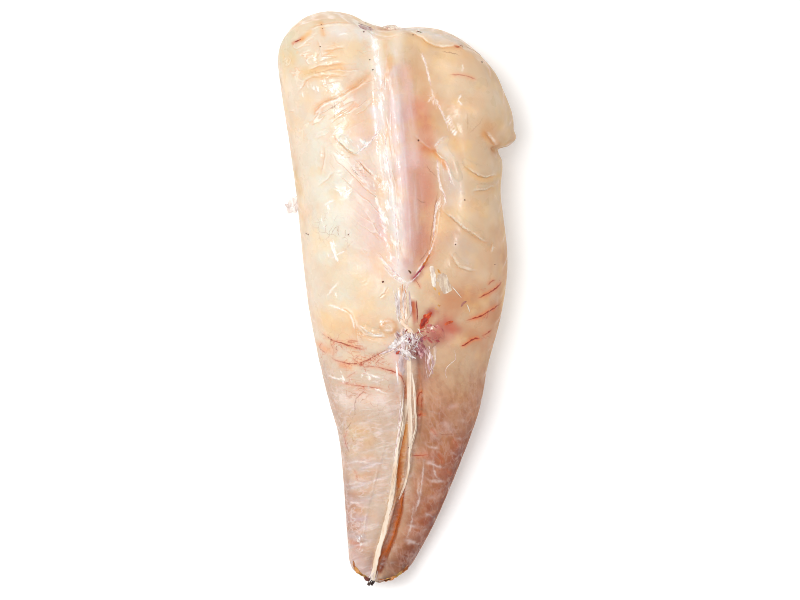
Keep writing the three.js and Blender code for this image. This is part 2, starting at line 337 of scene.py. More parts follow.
def stroke(colour, strength, reach, *pixels, edge=0.3, ends=0):
    """Lays a soft line of colour on the belly. Reach in millimetres."""
    distance, side, share = nearest(plan, seen(*pixels), FAR)
    spread = distance / (reach * MM) * (1 + edge * ragged)
    weight = strength * np.exp(-spread**2) * upper
    lay(paint(*colour), weight * fading(share, ends) if ends else weight)


# Right half, and the fascia beyond the fillets' ends with its muscle segments
TAN_AND_SHADE = paint(196, 167, 136)
FASCIA_LEFT = paint(190, 169, 150)
FASCIA_RIGHT = paint(161, 108, 69)
SEPTUM_LEFT = paint(178, 162, 161)
SEPTUM_RIGHT = paint(167, 118, 86)
CELL_LEFT = paint(196, 146, 116)
CELL_RIGHT = paint(146, 84, 58)
right_half = ramp(from_keel * keel_side, -4 * MM, 10 * MM)
# The right half is darker tan: partly its own colour, partly painted shade for the half turned from the light
lay(TAN_AND_SHADE, right_half)
fillet_ends = [(290, 318), (313, 330), (345, 347), (375, 353), (408, 345), (445, 352), (470, 356), (510, 330)]
distance, side, share = nearest(plan, seen(*fillet_ends), WHOLE_TAIL)
fascia = ramp(-distance * side + 5 * MM * ragged, -8 * MM, 30 * MM)
lay(FASCIA_LEFT + (FASCIA_RIGHT - FASCIA_LEFT) * right_half[:, None], fascia)
lay(SEPTUM_LEFT + (SEPTUM_RIGHT - SEPTUM_LEFT) * right_half[:, None], 0.75 * septum)
lay(CELL_LEFT, 0.6 * cell * (1 - right_half))
lay(CELL_RIGHT, 0.75 * cell * right_half * ramp(from_keel, 8 * MM, 14 * MM))

# Left fillet
stroke((189, 180, 148), 0.6, 8, (285, 60), (292, 30), (315, 15), (340, 12))
stroke((209, 209, 196), 0.7, 11, (330, 130), (332, 200), (336, 260), (350, 300))
stroke((224, 195, 187), 0.7, 8, (362, 110), (364, 160), (370, 220), (380, 265))
stroke((214, 187, 161), 0.6, 6, (350, 118), (362, 112), (372, 100))
stroke((214, 144, 91), 0.6, 2.0, (318, 344), (328, 350))
stroke((214, 128, 72), 0.6, 1.2, (341, 365), (351, 367))
stroke((207, 132, 64), 0.7, 2.2, (383, 329), (395, 330))
stroke((208, 167, 125), 0.7, 8, (330, 322), (352, 326), (376, 326))
stroke((199, 177, 152), 0.8, 2.4, (378, 326), (392, 329))
stroke((215, 156, 103), 0.55, 3.0, (374, 73), (363, 84), (346, 96), ends=0.2)
stroke((194, 141, 110), 0.5, 2.4, (336, 101), (324, 107), (313, 119), ends=0.2)
stroke((202, 160, 108), 0.45, 3.0, (306, 73), (322, 72), (342, 72))
stroke((214, 202, 182), 0.5, 3.0, (331, 137), (342, 149), (357, 156), (370, 160))
stroke((161, 118, 52), 0.7, 2.0, (293, 172), (296, 182), (299, 192))
stroke((190, 79, 30), 0.7, 1.0, (294, 45), (303, 41))
stroke((130, 77, 32), 0.8, 1.2, (280, 81), (281, 87))
stroke((201, 166, 127), 0.4, 5.0, (284, 110), (290, 150), (296, 195), (302, 245))
stroke((208, 210, 224), 0.7, 2.4, (374, 112), (377, 125), (378, 137))
stroke((211, 182, 145), 0.5, 8, (335, 275), (352, 285), (370, 296))
stroke((144, 103, 105), 0.8, 1.0, (360, 27), (366, 30), (374, 31))
stroke((213, 143, 56), 0.6, 1.2, (322, 26), (324, 37))
stroke((216, 150, 60), 0.6, 1.2, (302, 42), (311, 34))
stroke((185, 154, 114), 0.6, 3.0, (316, 18), (338, 15), (356, 20))
stroke((218, 205, 198), 0.6, 4.0, (334, 32), (348, 33), (360, 34))
stroke((195, 132, 74), 0.7, 1.1, (381, 327), (385, 322), (392, 321), (397, 326), (393, 332))
stroke((213, 175, 113), 0.5, 3.0, (306, 75), (324, 75), (340, 74))

# Backbone: cream at the head end, then pink membrane, whiter on its left flank and crest, partly as painted
# highlight, and redder on its right, where it is also painted lighter against its shade
stroke((209, 195, 164), 0.8, 6, (388, 30), (392, 60))
stroke((209, 140, 117), 0.85, 7, (412, 110), (420, 160), (425, 200), (422, 240), (414, 262))
stroke((190, 155, 151), 0.9, 6, (394, 80), (398, 120), (402, 165), (406, 205), (407, 245), (406, 268))
stroke((211, 154, 100), 0.6, 2.2, (391, 62), (391, 70))
stroke((196, 151, 106), 0.55, 2.0, (384, 34), (386, 50), (389, 70))
# Painted highlight: a pale column down the ridge at the head end
stroke((225, 207, 190), 0.7, 2.6, (396, 32), (397, 48), (398, 64))
# Painted light: a pale salmon band that lifts the shade on the ridge's right flank
stroke((225, 186, 181), 0.8, 3.2, (405, 72), (408, 100), (411, 135), (414, 165))
# Painted highlight: a pale streak down the ridge's crest
stroke((211, 187, 187), 0.6, 1.8, (395, 70), (398, 110), (402, 155), (406, 195), (408, 235))
WHITE_FILM_AND_HIGHLIGHT = (216, 210, 206)
left_gutter = [(373, 34), (376, 55), (380, 78), (381, 100), (382, 125), (386, 160), (391, 205), (401, 278)]
stroke(WHITE_FILM_AND_HIGHLIGHT, 0.55, 2.6, *left_gutter, edge=0.6)
# The white streak down the crest is partly painted highlight
stroke(WHITE_FILM_AND_HIGHLIGHT, 0.4, 2.0, (395, 72), (396, 95), (398, 130), (399, 180), (401, 215), (403, 255), edge=0.6)
stroke(WHITE_FILM_AND_HIGHLIGHT, 0.8, 1.3, (384, 128), (387, 150), (390, 175), (393, 200), (395, 225), (398, 262), edge=0.6)
# Painted light: a paler band on the ridge's right flank, against its shade
stroke((221, 168, 153), 0.5, 3.0, (408, 175), (412, 205), (413, 240), (411, 258))
stroke((214, 177, 175), 0.6, 2.0, (378, 212), (385, 240), (392, 262))
stroke((152, 36, 54), 0.9, 1.4, (414, 278), (419, 272), (425, 265))
stroke((196, 128, 62), 0.7, 1.0, (424, 266), (430, 252), (433, 238))

# Right fillet
stroke((184, 140, 97), 0.6, 7, (416, 60), (424, 90), (430, 120))
stroke((194, 128, 99), 0.75, 4.5, (421, 108), (426, 128), (430, 146))
# Painted shadow: orange where the corner lobe overhangs the gutter
stroke((199, 102, 55), 0.7, 2.0, (424, 150), (432, 153), (437, 152))
stroke((186, 164, 137), 0.6, 7, (478, 90), (488, 115))
# Painted highlight: a pale cream band below the corner lobe
stroke((196, 184, 174), 0.7, 5, (447, 165), (452, 182), (456, 200))
stroke((179, 153, 136), 0.6, 6, (450, 232), (462, 248), (470, 262))
stroke((186, 137, 89), 0.6, 5, (488, 128), (497, 142), (500, 150))
stroke((196, 124, 51), 0.6, 1.6, (483, 136), (491, 143), (497, 151))
stroke((214, 172, 118), 0.6, 1.6, (466, 169), (474, 177), (486, 180), (498, 176))
stroke((190, 128, 88), 0.6, 6, (504, 230), (506, 270), (504, 310), (494, 345))
stroke((176, 107, 64), 0.7, 9, (450, 300), (475, 300), (490, 320), (470, 335))
stroke((173, 140, 112), 0.6, 1.8, (438, 213), (457, 225), (474, 237), (490, 244))
stroke((208, 197, 174), 0.6, 1.6, (447, 160), (450, 170), (455, 178))
stroke((199, 184, 171), 0.9, 3.0, (442, 145), (439, 150), (444, 154), (450, 158))
# Painted shadow: an orange line under the corner lobe's free edge
stroke((200, 118, 56), 0.8, 1.0, (433, 152), (437, 158), (442, 163), (447, 170))

# Vent: raw pink and red tissue beside it
stroke((146, 46, 46), 0.9, 6, (424, 329), (433, 335), (446, 328))
stroke((128, 66, 74), 0.8, 3.6, (423, 348), (426, 365), (424, 378))
stroke((150, 30, 30), 1.0, 2.4, (422, 327), (430, 313))
stroke((140, 38, 39), 0.8, 0.9, (413, 302), (414, 325))
stroke((143, 30, 30), 0.9, 1.2, (414, 280), (421, 273))
stroke((186, 80, 54), 0.6, 3, (447, 322), (453, 330))
stroke((217, 173, 170), 0.7, 3.5, (394, 348), (400, 358), (400, 370))
# Under the white clump: mauve tissue with painted shade in the gaps between the shreds
stroke((144, 96, 99), 0.8, 4.0, (402, 332), (408, 344), (412, 355))
stroke((137, 83, 85), 0.8, 2.6, (416, 328), (419, 340), (420, 352))
stroke((215, 142, 94), 0.6, 1.2, (402, 290), (403, 305), (405, 318))
stroke((179, 84, 42), 0.8, 1.4, (414, 304), (415, 320))
stroke((195, 131, 107), 0.5, 4.0, (442, 330), (449, 339))
stroke((180, 149, 143), 0.6, 3.0, (396, 385), (395, 410))

# Fin slit: dark orange between the tendons, its own colour deepened with painted shade in the groove, a cream
# bank on its left and a lilac edge on its right
stroke((193, 170, 152), 0.6, 5, (388, 400), (386, 440), (380, 490), (370, 540))
stroke((220, 149, 59), 0.9, 1.6, (406, 425), (403, 450), (400, 475), (398, 500))
stroke((168, 84, 40), 0.9, 1.4, (402, 498), (396, 526), (388, 549), (379, 572))
stroke((118, 64, 73), 0.7, 1.1, (373, 554), (371, 566), (369, 577))
stroke((92, 44, 36), 0.75, 1.3, (418, 358), (419, 372), (418, 392))
stroke((131, 69, 53), 0.6, 1.4, (419, 390), (420, 404), (418, 430))
stroke((150, 85, 61), 0.7, 1.5, (408, 392), (406, 415))
stroke((111, 44, 30), 0.9, 1.0, (404, 490), (401, 511), (397, 526), (392, 541), (387, 553), (380, 572))
stroke((206, 160, 112), 0.8, 1.7, (391, 497), (388, 514), (384, 532), (379, 549), (375, 566))
stroke((196, 160, 142), 0.85, 0.8, (394, 512), (390, 531), (385, 548), (379, 564))
stroke((130, 86, 63), 0.6, 1.6, (424, 455), (422, 485), (413, 520), (405, 545))

# Tail: greyer purple towards its right side and its tip
stroke((157, 70, 36), 0.75, 7, (462, 445), (450, 475), (432, 518), (412, 560))
stroke((93, 35, 30), 0.8, 3.5, (472, 428), (461, 458), (444, 500), (426, 540), (410, 568))
stroke((158, 118, 103), 0.6, 4, (352, 500), (358, 540), (362, 570))
stroke((156, 109, 84), 0.45, 3.0, (426, 392), (425, 425), (422, 455))
stroke((128, 58, 31), 0.6, 2.2, (431, 508), (437, 505))
stroke((140, 64, 33), 0.6, 2.0, (421, 523), (427, 520))
stroke((93, 30, 30), 0.6, 2.0, (413, 542), (419, 539))
stroke((175, 131, 120), 0.7, 1.1, (424, 500), (432, 497), (441, 494))
stroke((174, 123, 105), 0.7, 1.1, (414, 520), (424, 516), (434, 512))
stroke((144, 95, 80), 0.7, 1.1, (408, 540), (416, 536), (424, 532))
stroke((194, 152, 124), 0.5, 8, (434, 385), (442, 402), (447, 416))
stroke((166, 117, 94), 0.6, 6, (484, 372), (475, 400), (466, 430))
stroke((85, 39, 35), 0.6, 5, (392, 566), (402, 560), (411, 550))
stroke((196, 168, 161), 0.7, 4, (354, 556), (362, 566), (366, 574))
stroke((149, 112, 96), 0.6, 2.5, (346, 480), (347, 505), (349, 535))
stroke((203, 167, 133), 0.6, 5, (474, 322), (484, 327))
stroke((153, 90, 57), 0.6, 3.0, (441, 413), (444, 428))
stroke((156, 106, 80), 0.5, 2.5, (443, 400), (449, 404))
stroke((192, 156, 143), 0.7, 1.6, (446, 424), (452, 431))
stroke((196, 156, 147), 0.6, 1.0, (449, 407), (456, 405))
stroke((170, 109, 93), 0.5, 4.0, (430, 455), (436, 472))
stroke((149, 86, 55), 0.6, 2.6, (440, 460), (448, 466))
stroke((144, 78, 45), 0.6, 3.5, (434, 486), (446, 490))
stroke((164, 118, 101), 0.5, 3.5, (424, 470), (416, 505), (408, 535))
stroke((212, 175, 124), 0.4, 5.0, (352, 430), (368, 436))
stroke((206, 171, 136), 0.5, 3.0, (350, 452), (366, 452))
stroke((203, 161, 126), 0.5, 3.0, (350, 475), (362, 478))
stroke((186, 132, 95), 0.6, 2.5, (352, 506), (361, 510))
stroke((189, 129, 92), 0.6, 2.2, (351, 526), (359, 530))
stroke((195, 118, 92), 0.6, 2.0, (353, 543), (359, 546))
stroke((198, 176, 172), 0.6, 1.8, (346, 464), (358, 461), (372, 463))
stroke((193, 174, 168), 0.6, 1.6, (346, 484), (357, 482), (368, 484))
stroke((188, 164, 159), 0.7, 1.6, (348, 498), (358, 501), (368, 500))
stroke((185, 157, 162), 0.7, 1.6, (348, 517), (357, 519), (366, 518))
stroke((188, 175, 177), 0.6, 1.4, (350, 536), (357, 537), (363, 536))
stroke((153, 130, 142), 0.6, 1.6, (347, 508), (348, 524))
stroke((197, 173, 157), 0.6, 3.0, (384, 470), (379, 495), (375, 520), (370, 545))
left_brink = [(322, 364), (330, 390), (338, 415), (343, 440), (346, 470), (348, 505), (351, 535)]
stroke((162, 128, 112), 0.5, 3.0, *left_brink)
# Painted highlight: a pale lilac-white glare across the left tail
stroke((230, 212, 202), 0.5, 5.0, (346, 399), (362, 399), (381, 399))
stroke((48, 30, 30), 0.6, 2.4, (352, 574), (362, 582))
stroke((48, 30, 30), 0.7, 2.4, (385, 580), (400, 577), (406, 570))

# Head cut: rings of muscle flakes with pale edges, redder round the bone, and the rim above them
FLAKE_WIDTH = 6.5 * MM
flake = (from_bone + 2.5 * MM * ragged) / FLAKE_WIDTH
flaked = cut_face * ramp(from_bone, 8 * MM, 12 * MM)
lay(paint(214, 186, 158), 0.8 * cut_face)
lay(paint(236, 222, 206), 0.7 * np.exp(-(((flake % 1) - 0.5) / 0.16) ** 2) * flaked)
lay(paint(178, 128, 104), 0.6 * cut_face * (1 - ramp(from_bone, 6 * MM, 11 * MM)))
stroke((214, 206, 196), 0.7, 4.0, (340, 34), (352, 36), (366, 38))
stroke((197, 185, 174), 0.9, 3.2, (405, 31), (420, 34), (435, 38), (458, 42))
stroke((164, 130, 90), 0.55, 1.0, (404, 33), (420, 41), (432, 48), (448, 50), (462, 49))

# Sides: the muscle segments show as faint bands, slanting towards the table
lay(paint(214, 178, 146), 0.35 * side_band * (1 - fascia))

layer = flesh.data.attributes.new("tint", "FLOAT_COLOR", "POINT")
layer.data.foreach_set("color", np.column_stack([np.clip(tint, 0, 1), np.ones(len(tint))]).ravel())


def mask(name, values):
    """Keeps a value at each point of the flesh, for its material."""
    layer = flesh.data.attributes.new(name, "FLOAT", "POINT")
    layer.data.foreach_set("value", values)


def patch(reach, *pixels):
    """Share from 0 to 1 that falls away from a route over that reach in millimetres."""
    distance, side, share = nearest(plan, seen(*pixels), FAR)
    return np.exp(-((distance / (reach * MM)) ** 2)) * upper


def strewn(patches):
    """Several patches together, each given by its weight, its reach and its route."""
    return sum(weight * patch(reach, *pixels) for weight, reach, *pixels in patches)


LINE_REACH = 4 * MM
level_enough = ramp(facing[:, 2], 0.3, 0.6)


def lines(name, routes):
    """Keeps how far each point lies from the nearest of some lines, in millimetres and signed by its side,
    and how strong that line is there, so that the material can draw lines finer than the mesh."""
    gap = np.full(len(plan), LINE_REACH)
    strength = np.zeros(len(plan))
    for weight, *pixels in routes:
        distance, side, share = nearest(plan, seen(*pixels), LINE_REACH)
        closer = distance < np.abs(gap)
        gap[closer] = (distance * side)[closer]
        strength[closer] = weight * fading(share[closer], 0.25)
    strength *= level_enough * ramp(LINE_REACH - np.abs(gap), 0, 0.5 * LINE_REACH)
    mask(name + "_gap", gap / MM)
    mask(name + "_strength", strength)


# Edges of the muscle segments, as lines: across the tail, down the sides and round the cut face
topside = ramp(facing[:, 2], 0.55, 0.75)
septum_gap = np.sin(math.pi * (segment - 0.5)) / math.pi * SEGMENT_LENGTH
septum_strength = segmented * topside
side_gap = np.sin(math.pi * (side_phase - 0.5)) / math.pi * SIDE_SEGMENT
on_side = facing[:, 2] < 0.52
septum_gap[on_side] = side_gap[on_side]
septum_strength[on_side] = (steep * (1 - ramp(facing[:, 2], 0.25, 0.5)))[on_side]
flake_gap = np.sin(math.pi * (flake - 0.5)) / math.pi * FLAKE_WIDTH
on_cut = cut_face_start > 0.5
septum_gap[on_cut] = flake_gap[on_cut]
septum_strength[on_cut] = flaked[on_cut]
mask("septum_gap", septum_gap / MM)
mask("septum_strength", septum_strength * (1 - cut_face_start * (1 - cut_face)))
mask("right_half", right_half)
mask("fascia", fascia)
mask("side", 1 - ramp(facing[:, 2], 0.15, 0.75))

# Dry skin, browned fascia, and nets of capillaries and of fine brown cracks
DRY_RIM = (2.5, 4, (419, 72), (421, 86), (421, 102))
CAPILLARIES = [
    (1.0, 13, (330, 352), (360, 368), (385, 380)),
    (0.9, 6, (426, 333), (436, 337)),
]
CRACKS = [
    (1.0, 7, (330, 228), (345, 236)),
    (1.0, 8, (358, 408), (362, 424)),
    (1.0, 4, (348, 445), (347, 452)),
    (0.8, 8, (474, 385), (468, 425), (452, 470), (436, 510)),
]
left_fascia = fascia * (1 - right_half)
mask("dry", right_half * ramp(from_keel, 12 * MM, 22 * MM) + strewn([DRY_RIM]))
mask("browning", fascia * (0.15 + 0.85 * right_half))
mask("capillary", np.clip(strewn(CAPILLARIES), 0, 1))
mask("hairy", np.clip(strewn(CRACKS) + 0.2 * left_fascia, 0, 1))
mask("backbone", patch(7, (390, 60), (396, 110), (402, 165), (408, 205), (409, 250)))

# Membrane pulled into wrinkles: across, upwards, downwards and along the tail
pulled_across = patch(12, (300, 62), (325, 62), (350, 62)) + 0.25 * left_fascia
pulled_up = patch(9, (315, 125), (345, 110), (368, 98)) + 0.1 * left_fascia
pulled_down = patch(9, (352, 165), (372, 200), (380, 245)) + 0.15 * fascia * right_half
pulled_along = patch(4, (384, 80), (390, 165), (398, 250)) + patch(3, (398, 290), (400, 315))
layer = flesh.data.attributes.new("pull", "FLOAT_COLOR", "POINT")
pulls = np.clip(np.column_stack([pulled_across, pulled_up, pulled_down, pulled_along]), 0, 1)
layer.data.foreach_set("color", pulls.ravel())

# Scraps of white film that still cling: in the left gutter, on the pulled membrane and the crumpled fillet,
# together with painted glints laid on as white patches on the fillets and the tail
SCRAPS_AND_GLINTS = [
    (1.0, 3.2, (373, 34), (377, 58), (381, 85), (381, 110), (383, 135), (386, 165), (390, 205), (396, 250)),
    (1.0, 4, (342, 142), (356, 146), (368, 144)),
    (1.0, 4, (358, 166), (371, 176), (378, 190)),
    (1.0, 5, (380, 205), (386, 232), (391, 258)),
    (0.8, 5, (328, 205), (326, 222), (336, 254), (335, 292)),
    (0.8, 4, (304, 55), (312, 60)),
    (0.85, 7, (305, 92), (322, 88), (336, 92), (342, 110)),
    (0.8, 6, (340, 378), (372, 376), (384, 392)),
    (0.5, 6, (356, 404), (366, 412), (372, 420)),
    (0.9, 3, (397, 292), (399, 318)),
    (0.7, 3, (333, 346), (346, 350)),
    (0.7, 4, (447, 150), (456, 180)),
    (0.8, 3, (357, 524), (360, 548)),
]
mask("scraps_and_glints", np.clip(strewn(SCRAPS_AND_GLINTS), 0, 1))

# Painted lilac sheen of the fascia: soft reflections laid on as colour
SHEEN = [
    (1.0, 5, (448, 427), (436, 433)),
    (1.0, 4, (441, 447), (447, 454)),
    (1.0, 4, (430, 497), (442, 495)),
    (0.8, 7, (350, 440), (358, 500), (360, 545)),
    (1.0, 5, (415, 520), (408, 545)),
    (1.0, 4, (412, 556), (404, 560)),
    (0.7, 6, (340, 375), (366, 386), (392, 380)),
]
mask("sheen", np.clip(strewn(SHEEN) + 0.35 * fascia, 0, 1))

# Creases: an orange line, partly painted shade in the groove, with a pale lip on its left that is a painted
# highlight and painted shade on its right
FOLDS = [
    (1.0, (371, 76), (362, 85), (345, 96), (338, 100), (322, 107), (315, 115), (311, 122)),
    (0.7, (322, 53), (334, 52), (347, 50)),
    (0.8, (306, 73), (318, 70), (333, 67), (346, 65)),
    (0.7, (298, 98), (305, 86), (312, 80), (330, 78), (345, 78)),
    (0.5, (318, 40), (320, 52), (317, 62)),
    (0.7, (360, 26), (340, 25), (322, 27), (306, 31)),
    (0.8, (402, 31), (421, 40), (432, 48), (448, 50), (463, 46)),
    (1.0, (332, 136), (342, 147), (352, 155), (362, 158)),
    (0.5, (325, 145), (324, 165), (321, 178)),
    (0.6, (318, 189), (328, 181), (336, 174)),
    (0.8, (284, 116), (287, 130), (292, 150)),
    (0.7, (284, 120), (288, 114), (296, 113)),
    (0.6, (348, 165), (355, 175), (363, 184), (370, 189)),
    (0.7, (357, 160), (366, 171), (376, 178)),
    (0.8, (379, 299), (384, 294), (389, 287)),
    (1.0, (483, 132), (490, 142), (494, 150), (503, 155)),
    (0.8, (462, 166), (472, 174), (482, 179), (492, 178), (501, 175)),
    (0.6, (470, 193), (481, 192), (490, 190), (500, 185)),
    (0.65, (436, 206), (457, 225), (474, 237), (484, 243), (493, 244)),
    (0.7, (491, 241), (491, 248), (489, 253)),
    (0.5, (447, 250), (454, 263), (463, 270), (479, 272)),
    # Under the corner lobe's free edge, painted shadow
    (1.0, (433, 149), (437, 156), (446, 164), (449, 174)),
    (0.6, (440, 198), (437, 214), (435, 232), (432, 248)),
    (0.5, (412, 136), (424, 148), (433, 153)),
    (0.6, (335, 308), (347, 311), (353, 317), (356, 330), (358, 345)),
    (0.7, (352, 323), (366, 336), (380, 338), (394, 336)),
    (0.6, (397, 330), (388, 334), (380, 330)),
]
lines("fold", FOLDS)

# Blood vessels, also laid on as cords further down
VEINS = [
    (0.45, (437, 452), (441, 458), (443, 466)),
    (0.45, (446, 470), (452, 474), (456, 473)),
    (0.4, (440, 505), (450, 503), (455, 500)),
    (0.4, (452, 438), (456, 443), (458, 449)),
    (0.4, (429, 428), (434, 431), (437, 436)),
    (0.4, (348, 428), (345, 438), (347, 449)),
    (0.35, (353, 468), (357, 474), (358, 482)),
    (1.6, (505, 277), (501, 283), (496, 288), (490, 292), (484, 295), (476, 299)),
    (0.8, (487, 286), (489, 283), (492, 281), (496, 280)),
    (1.8, (503, 298), (501, 302), (497, 306), (489, 311), (480, 316), (474, 318), (464, 321)),
    (0.6, (489, 312), (487, 315), (486, 319)),
    (1.1, (492, 329), (487, 333), (481, 336)),
    (1.8, (484, 339), (477, 338), (471, 340), (465, 344), (458, 347)),
    (0.6, (346, 343), (352, 340), (360, 341)),
    (0.5, (352, 363), (357, 357), (362, 353)),
    (0.5, (374, 364), (380, 359), (386, 357)),
    (0.6, (330, 341), (334, 350), (333, 357)),
    (1.0, (320, 331), (326, 335), (333, 340), (341, 342), (350, 345), (357, 347), (363, 348), (368, 350)),
    (0.9, (329, 354), (333, 358), (340, 361), (349, 363), (358, 363), (364, 361), (371, 358), (378, 354),
     (390, 347)),
    (0.5, (338, 345), (336, 348), (339, 351)),
    (0.6, (355, 366), (362, 364), (369, 359), (376, 352)),
    (0.8, (356, 366), (366, 366), (375, 366), (384, 368), (391, 370), (398, 373), (403, 379), (405, 390),
     (405, 404)),
    (0.35, (346, 378), (352, 374), (358, 370)),
    (0.35, (356, 398), (362, 392), (369, 386)),
    (0.6, (334, 382), (345, 383), (356, 385), (366, 386), (377, 387), (389, 389)),
    (1.8, (462, 47), (472, 51), (482, 57), (492, 66)),
    (1.0, (453, 46), (457, 49), (461, 47), (463, 52)),
    (0.6, (447, 77), (458, 77), (468, 79), (478, 83)),
    (0.8, (415, 279), (418, 284), (421, 290)),
    (1.0, (418, 407), (417, 399), (420, 392), (424, 394)),
    (0.5, (423, 396), (421, 402), (422, 409)),
    (1.0, (417, 415), (421, 413), (418, 417)),
    (0.7, (411, 454), (416, 455), (430, 454)),
    (0.6, (323, 341), (320, 348), (327, 353)),
]
lines("vein", VEINS)

# Fine brown lines, thinner than the vessels
HAIRS = [
    (0.8, (335, 104), (335, 112), (335, 122)),
    (0.7, (330, 110), (338, 110)),
    (0.8, (358, 161), (365, 170), (373, 178)),
    (0.8, (350, 166), (356, 174), (362, 179)),
    (0.7, (440, 54), (450, 55), (460, 58)),
    (0.9, (453, 47), (457, 50), (462, 47)),
    (0.6, (425, 165), (430, 172), (437, 178)),
    (0.6, (416, 199), (421, 203), (427, 203)),
    (0.7, (367, 387), (361, 394), (356, 399), (355, 407), (355, 416)),
    (0.7, (352, 421), (347, 428), (344, 429)),
    (0.7, (349, 440), (347, 447), (350, 453)),
    (0.6, (430, 433), (445, 434), (466, 433)),
    (0.35, (483, 118), (478, 126), (468, 136)),
    (0.3, (466, 112), (467, 125), (466, 134)),
    (0.9, (279, 88), (281, 84), (281, 80)),
    (0.6, (413, 415), (413, 428), (412, 440)),
    (0.8, (438, 190), (434, 213), (431, 235), (428, 250)),
    (0.6, (418, 262), (423, 258), (428, 248)),
]
lines("hair", HAIRS)

# Threads and edges of white film, and painted glints drawn as short white strokes, such as the feather of them
# on the right fillet
GLINT_BARBS = 7
FEATHER_GLINTS = []
for barb in range(GLINT_BARBS):
    FEATHER_GLINTS.append((0.9, (445 + 1.3 * barb, 122 + 2.6 * barb), (450 + 1.1 * barb, 117 + 2.6 * barb)))
FILMS_AND_GLINTS = FEATHER_GLINTS + [
    (0.9, (371, 31), (373, 45), (376, 58)),
    (0.9, (379, 62), (381, 78), (381, 92)),
    (0.9, (381, 92), (381, 112), (384, 128)),
    (1.0, (383, 127), (376, 137), (368, 147), (362, 151), (354, 158)),
    (1.0, (383, 126), (386, 150), (388, 170), (392, 190), (394, 210), (397, 232), (398, 266)),
    (0.7, (380, 140), (380, 160), (383, 180), (386, 202)),
    (0.9, (377, 254), (388, 266), (398, 276), (408, 285)),
    (0.8, (383, 266), (393, 277), (405, 285)),
    (0.9, (421, 271), (414, 279), (406, 285)),
    (1.0, (408, 281), (406, 290), (405, 298)),
    (0.8, (420, 53), (424, 62), (427, 75), (431, 90)),
    (0.7, (430, 87), (433, 98), (437, 104), (442, 115), (449, 132)),
    (0.6, (427, 105), (431, 101), (434, 108)),
    (1.0, (437, 158), (438, 175), (440, 187), (444, 195), (445, 203), (441, 211)),
    (0.9, (442, 195), (436, 212), (434, 228), (433, 242)),
    (0.9, (434, 238), (431, 250), (424, 262), (413, 278)),
    (0.8, (443, 157), (447, 168), (451, 181), (456, 189)),
    (0.8, (493, 194), (498, 202), (503, 212)),
    (0.9, (461, 96), (458, 102), (462, 108)),
    (0.7, (462, 66), (462, 75)),
    (0.8, (332, 137), (338, 131), (343, 128)),
    (0.8, (346, 98), (338, 102), (326, 106), (320, 110)),
    (0.9, (328, 304), (336, 307), (341, 309), (347, 312)),
    (0.7, (349, 313), (353, 320), (355, 330)),
    (1.0, (358, 324), (370, 333), (378, 335), (386, 335)),
    (0.25, (378, 462), (374, 484), (371, 497)),
    (0.3, (368, 508), (365, 524), (363, 536)),
    (0.25, (361, 541), (359, 556)),
    (0.8, (445, 138), (438, 143), (434, 150)),
    (0.4, (424, 455), (422, 480), (420, 495), (416, 509), (411, 521)),
    (0.35, (418, 474), (418, 499)),
    (0.4, (414, 501), (411, 525), (405, 544)),
    (0.6, (356, 521), (360, 524), (358, 527)),
    (0.6, (355, 530), (360, 533), (362, 529)),
    (0.6, (357, 540), (361, 543), (359, 547)),
    (0.6, (355, 549), (360, 552), (363, 548)),
    (0.5, (433, 455), (435, 474), (442, 480)),
    (0.4, (434, 338), (434, 352), (434, 365), (426, 380)),
    (0.9, (328, 375), (337, 378), (347, 379)),
    (0.9, (363, 372), (372, 375), (382, 378)),
    (0.9, (374, 387), (380, 390), (388, 393)),
    (0.5, (381, 324), (386, 321), (393, 322)),
    (0.6, (384, 329), (390, 330), (394, 328)),
    (0.7, (300, 58), (306, 54), (312, 52)),
    (0.7, (338, 38), (344, 36), (349, 37)),
    (0.8, (324, 207), (330, 203), (337, 201)),
    (0.8, (331, 259), (338, 255), (346, 251)),
    (0.8, (327, 297), (333, 289), (341, 281)),
    (0.4, (344, 464), (358, 461), (374, 463)),
    (0.4, (346, 485), (358, 482), (368, 484)),
    (0.4, (349, 501), (356, 503), (366, 501)),
]
lines("film", FILMS_AND_GLINTS)

# Fin slit and the grooves beside the tendons, drawn dark orange: tissue colour with painted shade in the
# grooves
SLIT = [
    (1.0, (405, 420), (404, 440), (402, 457), (401, 472), (399, 487), (396, 504)),
    (1.0, (404, 480), (401, 509), (396, 524), (391, 540), (386, 551), (380, 563), (377, 582)),
    (0.35, (397, 478), (393, 511), (389, 526), (384, 541), (380, 556)),
    (0.8, (404, 498), (402, 511), (398, 526), (393, 541), (388, 552), (382, 565)),
    (0.3, (418, 358), (419, 372), (420, 395), (418, 420)),
    (0.6, (406, 374), (406, 400), (406, 424)),
]
lines("slit", SLIT)


# Wet film: the thin layer of fluid and mucus over the flesh and all that lies on it, uneven in its gloss.
# It is a node group that puts out a roughness and the height of fine puckers.
PUDDLE_SCALE = 140
film = bpy.data.node_groups.new("wet_film", "ShaderNodeTree")
film.interface.new_socket("Pucker Scale", in_out="INPUT", socket_type="NodeSocketFloat").default_value = 320
film.interface.new_socket("Dry", in_out="INPUT", socket_type="NodeSocketFloat").default_value = 0.45
film.interface.new_socket("Wet", in_out="INPUT", socket_type="NodeSocketFloat").default_value = 0.2
for name in ("Roughness", "Height"):
    film.interface.new_socket(name, in_out="OUTPUT", socket_type="NodeSocketFloat")
entry = film.nodes.new("NodeGroupInput")
result = film.nodes.new("NodeGroupOutput")
film_place = film.nodes.new("ShaderNodeTexCoord")
puddles = film.nodes.new("ShaderNodeTexNoise")
puddles.inputs["Scale"].default_value = PUDDLE_SCALE
puddles.inputs["Detail"].default_value = 2
film.links.new(film_place.outputs["Object"], puddles.inputs["Vector"])
gloss = film.nodes.new("ShaderNodeMapRange")
gloss.inputs["From Min"].default_value = 0.38
gloss.inputs["From Max"].default_value = 0.62
